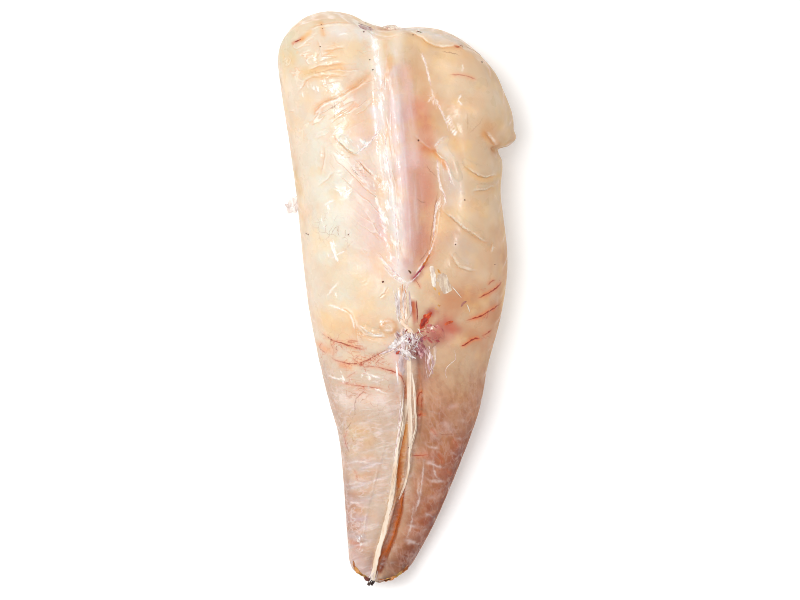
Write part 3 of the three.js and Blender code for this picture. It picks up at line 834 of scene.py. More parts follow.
film.links.new(puddles.outputs["Fac"], gloss.inputs["Value"])
film.links.new(entry.outputs["Dry"], gloss.inputs["To Min"])
film.links.new(entry.outputs["Wet"], gloss.inputs["To Max"])
film.links.new(gloss.outputs["Result"], result.inputs["Roughness"])
puckers = film.nodes.new("ShaderNodeTexNoise")
puckers.inputs["Detail"].default_value = 4
puckers.inputs["Roughness"].default_value = 0.55
puckers.inputs["Distortion"].default_value = 0.6
film.links.new(film_place.outputs["Object"], puckers.inputs["Vector"])
film.links.new(entry.outputs["Pucker Scale"], puckers.inputs["Scale"])
film.links.new(puckers.outputs["Fac"], result.inputs["Height"])

SCATTER_RADII = (1.0, 0.5, 0.3)
SCATTER_DEPTH = 2.5 * MM
WET_FLESH_IOR = 1.42


def wet_material(name, pucker_scale, dry, wet, scatter=0.0):
    """A new wet material with its shader, film and bump. The bump's height is in millimetres.
    The functions below add their nodes to the tree of the newest material."""
    global tree, place
    material = bpy.data.materials.new(name)
    material.use_nodes = True
    tree = material.node_tree
    place = tree.nodes.new("ShaderNodeTexCoord").outputs["Object"]
    shader = tree.nodes["Principled BSDF"]
    shader.inputs["Subsurface Weight"].default_value = scatter
    shader.inputs["Subsurface Radius"].default_value = SCATTER_RADII
    shader.inputs["Subsurface Scale"].default_value = SCATTER_DEPTH
    shader.inputs["IOR"].default_value = WET_FLESH_IOR
    wetness = tree.nodes.new("ShaderNodeGroup")
    wetness.node_tree = film
    wetness.inputs["Pucker Scale"].default_value = pucker_scale
    wetness.inputs["Dry"].default_value = dry
    wetness.inputs["Wet"].default_value = wet
    tree.links.new(wetness.outputs["Roughness"], shader.inputs["Roughness"])
    bump = tree.nodes.new("ShaderNodeBump")
    bump.inputs["Distance"].default_value = MM
    tree.links.new(bump.outputs["Normal"], shader.inputs["Normal"])
    return material, shader, wetness, bump


def noise_node(scale, detail, roughness=0.5, heading=None, stretch=6):
    """A noise over the piece's own coordinates, drawn out along a heading in degrees where one is given."""
    node = tree.nodes.new("ShaderNodeTexNoise")
    node.inputs["Scale"].default_value = scale
    node.inputs["Detail"].default_value = detail
    node.inputs["Roughness"].default_value = roughness
    source = place
    if heading is not None:
        mapping = tree.nodes.new("ShaderNodeMapping")
        mapping.vector_type = "TEXTURE"
        mapping.inputs["Rotation"].default_value[2] = math.radians(heading)
        mapping.inputs["Scale"].default_value[0] = stretch
        tree.links.new(place, mapping.inputs["Vector"])
        source = mapping.outputs["Vector"]
    tree.links.new(source, node.inputs["Vector"])
    return node.outputs["Fac"]


def between(source, low, high, to_low=0, to_high=1):
    """A value taken from one range to another."""
    node = tree.nodes.new("ShaderNodeMapRange")
    for name, value in zip(("From Min", "From Max", "To Min", "To Max"), (low, high, to_low, to_high)):
        node.inputs[name].default_value = value
    tree.links.new(source, node.inputs["Value"])
    return node.outputs["Result"]


def figure(operation, *values):
    """One step of arithmetic on plain numbers or on values that change over the surface."""
    node = tree.nodes.new("ShaderNodeMath")
    node.operation = operation
    for socket, value in zip(node.inputs, values):
        if isinstance(value, (int, float)):
            socket.default_value = value
        else:
            tree.links.new(value, socket)
    return node.outputs["Value"]


def times(first, *others):
    """Values multiplied one after another."""
    for other in others:
        first = figure("MULTIPLY", first, other)
    return first


def plus(first, *others):
    """Values added one after another."""
    for other in others:
        first = figure("ADD", first, other)
    return first


def mixed(base, colour, share):
    """A colour mixed into another by a share."""
    node = tree.nodes.new("ShaderNodeMix")
    node.data_type = "RGBA"
    tree.links.new(base, node.inputs["A"])
    node.inputs["B"].default_value = (*paint(*colour), 1)
    tree.links.new(share, node.inputs["Factor"])
    return node.outputs["Result"]


COVER_LEVEL = 0.8
COVER_REACH = 0.3


def covering(source, share, edge):
    """1 where a noise stands above a level, which it reaches more easily as the share grows."""
    return between(plus(source, times(share, COVER_REACH)), COVER_LEVEL, COVER_LEVEL + edge)


def attribute(name, output="Fac"):
    """A colour or value that the mesh keeps at its points."""
    node = tree.nodes.new("ShaderNodeAttribute")
    node.attribute_name = name
    return node.outputs[output]


def bell(gap, width):
    """1 on a line, falling to 0 over a width in millimetres."""
    spread = figure("DIVIDE", gap, width)
    return figure("EXPONENT", times(spread, spread, -1))


# The painted colours, mottled with warm, yellow and pale patches, brown fascia and a painted lilac sheen that
# stands for soft reflections
flesh_finish, shader, wetness, bump = wet_material("wet_flesh", 230, 0.4, 0.12, scatter=0.3)
fascia_share = attribute("fascia")
bare = figure("SUBTRACT", 1.0, fascia_share)
colour = attribute("tint", "Color")
colour = mixed(colour, (206, 150, 110), between(noise_node(75, 3), 0.48, 0.72, 0, 0.28))
colour = mixed(colour, (224, 182, 112), times(between(noise_node(58, 3, 0.6), 0.5, 0.68, 0, 0.34), bare))
colour = mixed(colour, (238, 222, 198), times(between(noise_node(62, 2), 0.46, 0.7, 0, 0.18), bare))
brown = times(between(noise_node(300, 4, 0.6, -65, 2), 0.46, 0.62, 0, 0.45), attribute("browning"))
colour = mixed(colour, (146, 88, 58), brown)
# Painted sheen: soft lilac reflections laid on over the fascia
lilac_sheen = covering(noise_node(150, 4, 0.6, 30, 2), attribute("sheen"), 0.3)
colour = mixed(colour, (206, 184, 184), times(lilac_sheen, 0.45))
streaks = between(noise_node(260, 3, 0.6, -85, 8), 0.48, 0.66, 0, 0.5)
colour = mixed(colour, (228, 212, 212), times(streaks, attribute("backbone")))

# Net of capillaries and of fine brown cracks
NET_SCALE = 210
NET_WARP = 4 * MM
warp = tree.nodes.new("ShaderNodeVectorMath")
warp.operation = "MULTIPLY_ADD"
shake = tree.nodes.new("ShaderNodeTexNoise")
shake.inputs["Scale"].default_value = 220
tree.links.new(place, shake.inputs["Vector"])
tree.links.new(shake.outputs["Color"], warp.inputs[0])
warp.inputs[1].default_value = (NET_WARP, NET_WARP, NET_WARP)
tree.links.new(place, warp.inputs[2])
net = tree.nodes.new("ShaderNodeTexVoronoi")
net.feature = "DISTANCE_TO_EDGE"
net.inputs["Scale"].default_value = NET_SCALE
tree.links.new(warp.outputs["Vector"], net.inputs["Vector"])
thin = between(net.outputs["Distance"], 0.0, 0.045, 1, 0)
broken = between(noise_node(110, 3), 0.47, 0.58)
net_line = times(thin, broken)
colour = mixed(colour, (188, 92, 76), times(net_line, attribute("capillary"), 0.7))
colour = mixed(colour, (156, 98, 62), times(net_line, attribute("hairy"), 0.7))

# Pulled membrane: orange wrinkles, partly painted shade, with pale lips painted as highlights, drawn out along
# each pull
pull = tree.nodes.new("ShaderNodeSeparateColor")
tree.links.new(attribute("pull", "Color"), pull.inputs["Color"])
shares = [pull.outputs["Red"], pull.outputs["Green"], pull.outputs["Blue"], attribute("pull", "Alpha")]
PULL_HEADINGS = [6, 31, -42, -85]
wrinkle = 0.0
lip_highlight = 0.0
for share, heading in zip(shares, PULL_HEADINGS):
    folds = noise_node(180, 2, 0.5, heading, 5)
    wrinkle = plus(wrinkle, times(bell(plus(folds, -0.5), 0.022), share))
    lip_highlight = plus(lip_highlight, times(bell(plus(folds, -0.55), 0.028), share))
shown = between(noise_node(130, 2), 0.42, 0.54)
wrinkle = times(wrinkle, shown)
lip_highlight = times(lip_highlight, shown)
colour = mixed(colour, (222, 156, 100), times(wrinkle, 0.35))
colour = mixed(colour, (246, 238, 226), times(lip_highlight, 0.38))

# Fine grain of the fascia, across on the left and along on the right
grain_left = bell(plus(noise_node(300, 2, 0.5, 14, 4), -0.5), 0.05)
grain_right = bell(plus(noise_node(300, 2, 0.5, -72, 4), -0.5), 0.05)
grain_shown = times(between(noise_node(120, 2), 0.42, 0.56), fascia_share)
grain_pale = times(grain_left, grain_shown, figure("SUBTRACT", 1.0, attribute("right_half")))
grain_brown = times(grain_right, grain_shown, attribute("right_half"))
colour = mixed(colour, (226, 208, 204), times(grain_pale, 0.34))
colour = mixed(colour, (196, 154, 140), times(grain_brown, 0.34))

# Edges of the muscle segments
waver = between(noise_node(230, 2), 0.3, 0.7, -0.5, 0.5)
septum_gap = plus(attribute("septum_gap"), times(waver, 1.4))
septum_shown = between(noise_node(160, 2), 0.4, 0.58, 0.15, 1)
septum_line = times(bell(septum_gap, 0.75), attribute("septum_strength"), septum_shown)
colour = mixed(colour, (228, 210, 206), times(septum_line, 0.45))

# Scraps of white film, and painted glints as white patches
scrap_and_glint = covering(noise_node(330, 4, 0.6, -70, 2), attribute("scraps_and_glints"), 0.09)
colour = mixed(colour, (242, 237, 232), times(scrap_and_glint, 0.7))

# Drawn lines, each wavering a little and broken here and there
jitter = between(noise_node(600, 3), 0.3, 0.7, -0.5, 0.5)
patches = between(noise_node(240, 3), 0.4, 0.58, 0.4, 1)
fold_gap = plus(attribute("fold_gap"), times(waver, 0.9))
fold_strength = attribute("fold_strength")
# Each fold's orange line is partly painted shade in the groove; its pale lip on the left is a painted highlight
# and the orange band on its right is painted shade
fold = times(bell(fold_gap, 0.42), fold_strength)
fold_lip_highlight = times(bell(plus(fold_gap, -0.95), 0.5), fold_strength, patches)
fold_shade = times(bell(plus(fold_gap, 1.2), 1.2), fold_strength)
colour = mixed(colour, (212, 158, 98), times(fold_shade, 0.26))
colour = mixed(colour, (212, 144, 80), times(fold, 0.5))
colour = mixed(colour, (240, 230, 214), times(fold_lip_highlight, 0.6))
vein_gap = plus(attribute("vein_gap"), times(jitter, 0.45))
vein_strength = attribute("vein_strength")
vein = times(bell(vein_gap, 0.3), vein_strength, between(noise_node(300, 2), 0.4, 0.52, 0.3, 1))
colour = mixed(colour, (214, 116, 68), times(bell(vein_gap, 1.3), vein_strength, 0.45))
colour = mixed(colour, (156, 44, 18), times(vein, 0.9))
hair = times(bell(plus(attribute("hair_gap"), times(jitter, 0.7)), 0.24), attribute("hair_strength"))
colour = mixed(colour, (128, 70, 46), times(hair, 0.7))
# Fin slit line: dark orange, partly painted shade in the groove
slit = times(bell(plus(attribute("slit_gap"), times(jitter, 0.7)), 0.85), attribute("slit_strength"))
colour = mixed(colour, (190, 98, 36), times(slit, 0.9))
# White film lines, and painted glints drawn as short white strokes
film_gap = plus(attribute("film_gap"), times(jitter, 0.7))
white_film_and_glint = times(bell(film_gap, 0.48), attribute("film_strength"), patches)
colour = mixed(colour, (244, 238, 234), times(white_film_and_glint, 0.8))
tree.links.new(colour, shader.inputs["Base Color"])

# Fine relief of all these, in millimetres
relief = [
    (wrinkle, -0.15), (lip_highlight, 0.12), (scrap_and_glint, 0.12), (slit, -0.5), (grain_pale, 0.1),
    (fold, -0.2), (fold_lip_highlight, 0.12), (vein, 0.08), (white_film_and_glint, 0.18), (septum_line, -0.1),
]
height = times(wetness.outputs["Height"], 0.21)
for part, tallness in relief:
    height = plus(height, times(part, tallness))
tree.links.new(height, bump.inputs["Height"])
roughness = plus(wetness.outputs["Roughness"], times(attribute("side"), 0.4), times(attribute("dry"), 0.15))
tree.links.new(roughness, shader.inputs["Roughness"])
flesh.data.materials.append(flesh_finish)

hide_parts("monkfish_tail")
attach(flesh, "root")


# Flaps: tongues of muscle and membrane that were cut or pulled free at one edge and lie over others.
# Each is a thin, solid sheet whose root sinks into the flesh, with the flesh's own colours carried on to it.
FLAP_COLUMNS = 28
FLAP_ROWS = 9
FLAP_SUNK = 0.9
FLAP_EDGE = 0.15
FLAP_CREST = 0.75
FLAP_FLANKS = 5
SKY_HEIGHT = 0.2
STRAIGHT_DOWN = Vector((0, 0, -1))


def resting(place):
    """Point of the flesh straight below a place on the table plan."""
    return surface.ray_cast(Vector((place[0], place[1], SKY_HEIGHT)), STRAIGHT_DOWN)[0]


def spaced(route, count):
    """A number of places at even steps along a route."""
    lengths = np.concatenate([[0], np.cumsum(np.linalg.norm(np.diff(route, axis=0), axis=1))])
    marks = np.linspace(0, lengths[-1], count)
    return np.column_stack([np.interp(marks, lengths, route[:, axis]) for axis in (0, 1)])


def solid_sheet(spots, columns, thickness):
    """A grid of places, row after row, as a thin solid with soft edges. Thickness in millimetres."""
    faces = []
    for corner in range(len(spots) - columns):
        if (corner + 1) % columns:
            faces.append((corner, corner + 1, corner + columns + 1, corner + columns))
    sheet = bpy.data.meshes.new("sheet")
    sheet.from_pydata(spots, [], faces)
    piece = bpy.data.objects.new("sheet", sheet)
    bpy.context.collection.objects.link(piece)
    if sum(face.normal.z * face.area for face in sheet.polygons) < 0:
        sheet.flip_normals()
    bpy.ops.object.select_all(action="DESELECT")
    piece.select_set(True)
    bpy.context.view_layer.objects.active = piece
    body = piece.modifiers.new("body", "SOLIDIFY")
    body.thickness = thickness * MM
    body.offset = -1
    bpy.ops.object.modifier_apply(modifier=body.name)
    soft = piece.modifiers.new("soft", "SUBSURF")
    soft.levels = soft.render_levels = 1
    bpy.ops.object.modifier_apply(modifier=soft.name)
    bpy.ops.object.shade_smooth()
    return piece


def joined(pieces, name):
    """Several objects made one, under a name."""
    bpy.ops.object.select_all(action="DESELECT")
    for piece in pieces:
        piece.select_set(True)
    bpy.context.view_layer.objects.active = pieces[0]
    bpy.ops.object.join()
    pieces[0].name = name
    return pieces[0]


def flap(root, edge, stand, thickness, ragged_by, seed):
    """A sheet from its root to its free edge, both given in pixels. It rises from the flesh to its stand at
    the crest and comes down to the edge. Sizes in millimetres."""
    start = spaced(seen(*root), FLAP_COLUMNS)
    stop = spaced(seen(*edge), FLAP_COLUMNS)
    spots = []
    height = 0.0
    for column in range(FLAP_COLUMNS):
        across = column / (FLAP_COLUMNS - 1)
        tear = 1 + ragged_by * noise.noise(Vector((across * 7, seed * 2.3, 0.4)))
        flank = min(1.0, FLAP_FLANKS * across, FLAP_FLANKS * (1 - across))
        for row in range(FLAP_ROWS):
            share = row / (FLAP_ROWS - 1)
            place = start[column] + (stop[column] - start[column]) * share * tear
            hit = resting(place)
            height = hit.z if hit else height
            arch = (stand + FLAP_SUNK) * math.sin(math.pi / 2 * min(share / FLAP_CREST, 1.0)) - FLAP_SUNK
            sag = (stand - FLAP_EDGE) * max(0.0, share - FLAP_CREST) / (1 - FLAP_CREST)
            over = (arch - sag) * flank - FLAP_SUNK * (1 - flank)
            spots.append((place[0], place[1], height + over * MM))
    return solid_sheet(spots, FLAP_ROWS, thickness)


# Each with its root, its free edge, its stand and thickness, and how ragged its edge is
FLAPS = [
    # Corner of the right fillet over the backbone's membrane
    ([(456, 131), (452, 140), (450, 146), (453, 153), (457, 159), (461, 167), (465, 176), (468, 187)],
     [(445, 137), (437, 143), (434, 150), (438, 156), (444, 161), (448, 168), (452, 178), (456, 188)],
     1.4, 1.3, 0.1),
    # Crescent under its long flap, and the petals below
    ([(456, 152), (470, 158), (483, 162), (497, 160)],
     [(458, 164), (470, 174), (482, 179), (500, 176)], 0.7, 1.0, 0.08),
    ([(472, 180), (484, 180), (498, 176)],
     [(470, 192), (484, 192), (500, 185)], 0.4, 0.8, 0.1),
    ([(446, 196), (462, 211), (478, 224), (493, 231)],
     [(437, 206), (456, 225), (474, 238), (493, 245)], 0.45, 0.8, 0.06),
    ([(455, 243), (463, 254), (478, 260)],
     [(448, 251), (459, 269), (479, 273)], 0.3, 0.7, 0.08),
    # Membrane of the left fillet, and the fold at its end
    ([(339, 127), (350, 133), (362, 136), (376, 128)],
     [(333, 137), (343, 148), (354, 156), (368, 147)], 0.4, 0.5, 0.15),
    ([(364, 318), (373, 324), (384, 326)],
     [(359, 326), (370, 334), (386, 336)], 0.6, 0.9, 0.1),
    # Torn edge by the head cut
    ([(344, 19), (358, 21), (371, 25)],
     [(346, 26), (360, 28), (374, 32)], 0.4, 0.6, 0.3),
    # Raw tissue right of the vent
    ([(418, 322), (431, 317), (446, 320)],
     [(421, 340), (433, 347), (448, 337)], 0.6, 0.9, 0.35),
    ([(419, 346), (426, 343), (435, 341)],
     [(420, 374), (427, 380), (434, 366)], 0.45, 0.5, 0.35),
]
flap_objects = []
for number, (root, edge, stand, thickness, ragged_by) in enumerate(FLAPS):
    flap_objects.append(flap(root, edge, stand, thickness, ragged_by, number))
flaps = joined(flap_objects, "flesh_flaps")

# The flesh below lends each flap its colours and masks
tree_of_places = KDTree(len(skin))
for index, corner in enumerate(flesh_corners):
    tree_of_places.insert(corner, index)
tree_of_places.balance()
below = [tree_of_places.find(vertex.co)[1] for vertex in flaps.data.vertices]
for lent in list(flesh.data.attributes):
    if lent.domain == "POINT" and lent.data_type in ("FLOAT", "FLOAT_COLOR"):
        kind = "color" if lent.data_type == "FLOAT_COLOR" else "value"
        width = 4 if kind == "color" else 1
        values = np.empty(len(skin) * width)
        lent.data.foreach_get(kind, values)
        taken = flaps.data.attributes.new(lent.name, lent.data_type, "POINT")
        taken.data.foreach_set(kind, values.reshape(-1, width)[below].ravel())
flaps.data.materials.append(flesh_finish)
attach(flaps, "root")

# What lies on top from here on rests on the flaps as well
flap_corners = [tuple(vertex.co) for vertex in flaps.data.vertices]
flap_faces = [tuple(corner + len(skin) for corner in face.vertices) for face in flaps.data.polygons]
surface = BVHTree.FromPolygons(flesh_corners + flap_corners, flesh_faces + flap_faces)


# Strands: tendons, threads of membrane and vessels all lie on the flesh as tapering cords of tissue.
# Each is drawn as a curve with a round or flattened section, laid along the surface below its route.
SAMPLE = 0.7 * MM
SMOOTHINGS = 3
UNEVEN = 0.55
UNEVEN_LENGTH = 2.2 * MM
WAVER_STEPS = 9


def strand(cords, route, radius, lift, taper, tips, waver, seed):
    """Adds one cord to a curve. Sizes in millimetres. Taper is the share of each end that thins out."""
    length = np.linalg.norm(np.diff(route, axis=0), axis=1).sum()
    track = spaced(route, max(3, int(length / SAMPLE) + 1))
    shares = np.linspace(0, 1, len(track))
    thin = tips + (1 - tips) * np.minimum(ramp(shares, 0, taper[0]), ramp(1 - shares, 0, taper[1]))
    spots = []
    for index, place in enumerate(track):
        shake = noise.noise_vector(Vector((seed * 3.7, shares[index] * len(track) / WAVER_STEPS, seed)))
        hit = resting((place[0] + shake.x * waver * MM, place[1] + shake.y * waver * MM))
        if hit is not None:
            uneven = 1 + UNEVEN * noise.noise(Vector((seed * 1.9, index * SAMPLE / UNEVEN_LENGTH, 4.2)))
            spots.append((hit.x, hit.y, hit.z + lift * MM, radius * thin[index] * uneven))
    spots = np.array(spots)
    for turn in range(SMOOTHINGS):
        spots[1:-1, 2] = (spots[:-2, 2] + 2 * spots[1:-1, 2] + spots[2:, 2]) / 4
    spline = cords.data.splines.new("POLY")
    spline.points.add(len(spots) - 1)
    for point, (x, y, z, size) in zip(spline.points, spots):
        point.co = (x, y, z, 1)
        point.radius = size


def new_cords(name, sides=2, flatness=1.0):
    """An empty curve whose cords are round, or flattened to a share, with radii in millimetres."""
    data = bpy.data.curves.new(name, "CURVE")
    data.dimensions = "3D"
    data.twist_mode = "Z_UP"
    data.use_fill_caps = True
    if flatness == 1.0:
        data.bevel_depth = MM
        data.bevel_resolution = sides
    else:
        bpy.ops.curve.primitive_bezier_circle_add(radius=MM)
        section = bpy.context.object
        section.name = name + "_section"
        section.scale.y = flatness
        bpy.ops.object.transform_apply(location=False, rotation=False, scale=True)
        section.data.resolution_u = sides
        data.bevel_mode = "OBJECT"
        data.bevel_object = section
    cords = bpy.data.objects.new(name, data)
    bpy.context.collection.objects.link(cords)
    return cords


def finished(cords, material):
    """Makes the curve a mesh with a material, riding on the tail."""
    section = cords.data.bevel_object
    bpy.ops.object.select_all(action="DESELECT")
    cords.select_set(True)
    bpy.context.view_layer.objects.active = cords
    bpy.ops.object.convert(target="MESH")
    piece = bpy.context.object
    if section:
        bpy.data.objects.remove(section)
    bpy.ops.object.shade_smooth()
    piece.data.materials.clear()
    piece.data.materials.append(material)
    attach(piece, "root")


# Tendons: pale, fibrous cords that moved the fin, left lying in its slit when the fin was pulled out.
# Each is a bundle of flat fibres that lie side by side and cross a little.
FIBRE_TIPS = 0.3
FIBRE_WAVER = 0.25


def bundle(cords, route, width, fibres, radius, lift, taper, seed):
    """Fibres side by side over a width in millimetres, wandering a little across each other."""
    along = np.gradient(route, axis=0)
    across = np.column_stack([-along[:, 1], along[:, 0]]) / np.linalg.norm(along, axis=1)[:, None]
    for number in range(fibres):
        offset = (number - (fibres - 1) / 2) / max(1, fibres - 1) * width * MM
        strand(cords, route + across * offset, radius, lift, taper, FIBRE_TIPS, FIBRE_WAVER, seed + number)


def flecked_material(name, film_values, base, fleck, grain, cover, height):
    """A wet material of one colour, flecked with another where a noise of that grain passes the cover."""
    material, shader, wetness, bump = wet_material(name, *film_values)
    ground = tree.nodes.new("ShaderNodeRGB").outputs[0]
    ground.default_value = (*paint(*base), 1)
    flecks = between(noise_node(*grain), *cover)
    tree.links.new(mixed(ground, fleck, flecks), shader.inputs["Base Color"])
    tree.links.new(times(wetness.outputs["Height"], height), bump.inputs["Height"])
    return material


# Left cord, its pale edge and the cord that it runs on as, right cord with its side branch and thin end
TENDON_FLATNESS = 0.5
tendons = new_cords("tendons", sides=4, flatness=TENDON_FLATNESS)
left_edge = seen((404, 388), (403, 400), (402, 412), (399, 430), (397, 446), (394, 464), (391, 484))
bundle(tendons, left_edge, 0.5, 2, 0.24, 0.0, (0.15, 0.4), 31)
left_cord = seen((406, 398), (405, 415), (402, 432), (399, 448), (396, 464), (393, 482), (390, 499))
bundle(tendons, left_cord, 1.3, 4, 0.3, 0.15, (0.1, 0.3), 35)
end_cord = seen((393, 482), (391, 497), (388, 514), (384, 532), (379, 549), (375, 566), (372, 583))
bundle(tendons, end_cord, 0.7, 2, 0.85, -0.1, (0.3, 0.05), 61)
end_edge = seen((396, 478), (393, 497), (389, 512), (384, 523), (381, 534))
bundle(tendons, end_edge, 0.4, 2, 0.28, 0.4, (0.3, 0.4), 71)
right_cord = seen((409, 356), (409, 380), (409, 400), (410, 420), (410, 448))
bundle(tendons, right_cord, 1.8, 6, 0.3, 0.25, (0.08, 0.2), 41)
side_branch = seen((412, 372), (414, 390), (415, 408), (416, 424), (414, 436), (411, 446), (410, 453))
bundle(tendons, side_branch, 0.5, 2, 0.28, 0.3, (0.15, 0.3), 51)
thin_end = seen((410, 444), (409, 457), (408, 471), (405, 483), (401, 494), (399, 499))
bundle(tendons, thin_end, 0.6, 3, 0.26, 0.6, (0.1, 0.5), 47)
tendon_finish = flecked_material(
    "tendon", film_values=(900, 0.42, 0.22), base=(228, 212, 194), fleck=(204, 160, 118),
    grain=(170, 3, 0.6, -95, 5), cover=(0.46, 0.64, 0, 0.6), height=0.2)
finished(tendons, tendon_finish)


# Membrane: white threads of connective tissue left along the gutters and torn across the fillets.
# Each is a thin cord that wavers along its route and clings to what lies below.
membrane = new_cords("membrane_threads", sides=2)
MEMBRANE_THREADS = [
    (0.14, (383, 126), (386, 150), (389, 170), (392, 190)),
    (0.16, (394, 205), (396, 225), (398, 250), (398, 266)),
    (0.16, (383, 127), (376, 137), (368, 147), (362, 151)),
    (0.1, (352, 170), (360, 180), (369, 186), (376, 190)),
    (0.2, (377, 254), (388, 266), (398, 276), (408, 285)),
    (0.16, (383, 266), (393, 277), (405, 285)),
    (0.18, (421, 271), (414, 279), (407, 285)),
    (0.1, (421, 52), (423, 60), (427, 75), (431, 88)),
    (0.1, (433, 98), (437, 106), (443, 118), (449, 134)),
    (0.2, (438, 160), (438, 175), (440, 187), (444, 195), (446, 205)),
    (0.18, (440, 197), (437, 205), (434, 221), (433, 235), (430, 248)),
    (0.16, (431, 248), (428, 256), (416, 276)),
    (0.14, (443, 158), (447, 168), (450, 182), (454, 187)),
    (0.24, (408, 282), (406, 290), (405, 300), (404, 312)),
    (0.12, (398, 284), (396, 300), (397, 318)),
    (0.12, (393, 283), (395, 297), (398, 312), (401, 322)),
    (0.1, (454, 350), (455, 358), (450, 363), (445, 370), (447, 379)),
    (0.14, (435, 345), (435, 355), (433, 366), (427, 379)),
    (0.12, (426, 347), (425, 360), (427, 378)),
    (0.3, (404, 384), (402, 405), (399, 430), (396, 448), (393, 466)),
    (0.2, (401, 392), (399, 412), (397, 430)),
]
for number, (radius, *pixels) in enumerate(MEMBRANE_THREADS):
    strand(membrane, seen(*pixels), radius, 0.0, (0.2, 0.2), 0.3, 0.7, 100 + number)
membrane_finish = flecked_material(
    "membrane", film_values=(700, 0.35, 0.15), base=(232, 221, 216), fleck=(196, 150, 148),
    grain=(420, 4, 0.6), cover=(0.42, 0.6, 0, 0.9), height=0.3)
finished(membrane, membrane_finish)


# Vessels: thin blood vessels that lie half sunk in the fascia round the vent and over the sides.
# Each is a cord along its vein's line, as thick as the vein is strong.
VESSEL_RADIUS = 0.1
WIDEST_VESSEL = 1.6
VESSEL_SUNK = 0.05
vessels = new_cords("blood_vessels", sides=2)
for number, (strength, *pixels) in enumerate(VEINS):
    radius = VESSEL_RADIUS * min(strength, WIDEST_VESSEL)
    strand(vessels, seen(*pixels), radius, -VESSEL_SUNK, (0.35, 0.35), 0.15, 0.15, 200 + number)
vessel_finish = flecked_material(
    "blood_vessel", film_values=(600, 0.4, 0.25), base=(150, 42, 16), fleck=(104, 34, 18),
    grain=(400, 3), cover=(0.45, 0.6, 0, 0.8), height=0.2)
finished(vessels, vessel_finish)


# Vent: soft shreds of white, lilac and peach tissue left where the gut was cut out, with raw red between.
# Each is a thin, solid ribbon with torn edges, draped on what lies below it and over its neighbours.
SHRED_COLUMNS = 7
SHRED_STEP = 0.6 * MM
FEWEST_ROWS = 5
TORN = 0.8
TORN_LENGTH = 1.1 * MM
PUFF = 0.35
RIM_HEIGHT = 20 * MM


def shred(colour, half_width, stand, *pixels, thickness=0.22, blunt=0.25, puff=PUFF, hung=None):
    """A ribbon along a route of pixels, with a colour of its own, draped or hung out level at a height.
    Sizes in millimetres."""
    route = seen(*pixels)
    seed = pixels[0][0] * 0.37 + pixels[0][1] * 0.11
    length = np.linalg.norm(np.diff(route, axis=0), axis=1).sum()
    track = spaced(route, max(FEWEST_ROWS, int(length / SHRED_STEP) + 1))
    along = np.gradient(track, axis=0)
    across = np.column_stack([-along[:, 1], along[:, 0]]) / np.linalg.norm(along, axis=1)[:, None]
    spots = []
    height = surface.find_nearest(Vector((*track[0], RIM_HEIGHT)))[0].z if hung is None else hung * MM
    for row, (place, side) in enumerate(zip(track, across)):
        share = row / (len(track) - 1)
        end = min(1.0, 4 * share, 4 * (1 - share))
        for column in range(SHRED_COLUMNS):
            offset = 2 * column / (SHRED_COLUMNS - 1) - 1
            torn = 1 + TORN * noise.noise(Vector((seed, row * SHRED_STEP / TORN_LENGTH, 3 * np.sign(offset))))
            spot = place + side * offset * half_width * MM * torn * (blunt + (1 - blunt) * end)
            hit = resting(spot) if hung is None else None
            height = hit.z if hit else height
            swollen = puff * noise.noise(Vector((spot[0], spot[1], seed)) / TORN_LENGTH)
            over = stand * (1 - 0.5 * offset**2) * (0.3 + 0.7 * end) + swollen
            spots.append((spot[0], spot[1], height + over * MM))
    piece = solid_sheet(spots, SHRED_COLUMNS, thickness)
    layer = piece.data.attributes.new("tint", "FLOAT_COLOR", "POINT")
    layer.data.foreach_set("color", np.tile([*paint(*colour), 1], len(piece.data.vertices)))
    return piece


def tuft(palette, count, middle, spread, heading, fan, length, half_width, stand, seed, puff=PUFF):
    """Short shreds strewn over a patch in pixels, lying along a heading in degrees, give or take a fan."""
    chance = np.random.default_rng(seed)
    pieces = []
    for number in range(count):
        bearing = chance.uniform(0, 2 * math.pi)
        away = math.sqrt(chance.uniform())
        spot = np.array(middle) + np.array(spread) * away * (math.cos(bearing), math.sin(bearing))
        turn = math.radians(heading + chance.uniform(-fan, fan))
        along = np.array([math.cos(turn), math.sin(turn)]) * length * chance.uniform(0.3, 0.7)
        bow = np.array([-along[1], along[0]]) * chance.uniform(-0.4, 0.4)
        route = [tuple(spot - along), tuple(spot + bow), tuple(spot + along)]
        width = half_width * chance.uniform(0.6, 1.4)
        colour = palette[number % len(palette)]
        pieces.append(shred(colour, width, stand * chance.uniform(0.3, 1.2), *route, puff=puff))
    return pieces


def torn_material(name, shade, fleck, share):
    """A wet material that takes each shred's own colour, shades it in streaks and flecks it."""
    material, shader, wetness, bump = wet_material(name, 700, 0.4, 0.18)
    shaded = tree.nodes.new("ShaderNodeMix")
    shaded.data_type = "RGBA"
    shaded.blend_type = "MULTIPLY"
    shaded.inputs["B"].default_value = (*paint(*shade), 1)
    tree.links.new(attribute("tint", "Color"), shaded.inputs["A"])
    tree.links.new(between(noise_node(380, 4, 0.6, -85, 3), 0.42, 0.62, 0, 0.8), shaded.inputs["Factor"])
    flecks = between(noise_node(520, 3, 0.6, -80, 3), 0.54, 0.66, 0, share)
    tree.links.new(mixed(shaded.outputs["Result"], fleck, flecks), shader.inputs["Base Color"])
    tree.links.new(times(wetness.outputs["Height"], 0.4), bump.inputs["Height"])
    return material


shred_finish = torn_material("shred", (206, 188, 186), (246, 243, 240), 0.5)
raw_finish = torn_material("raw_tissue", (196, 150, 140), (222, 150, 124), 0.35)


def torn_piece(name, material, pieces):
    """Joins some shreds into a finished piece that rides on the tail."""
    piece = joined(pieces, name)
    piece.data.materials.append(material)
    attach(piece, "root")


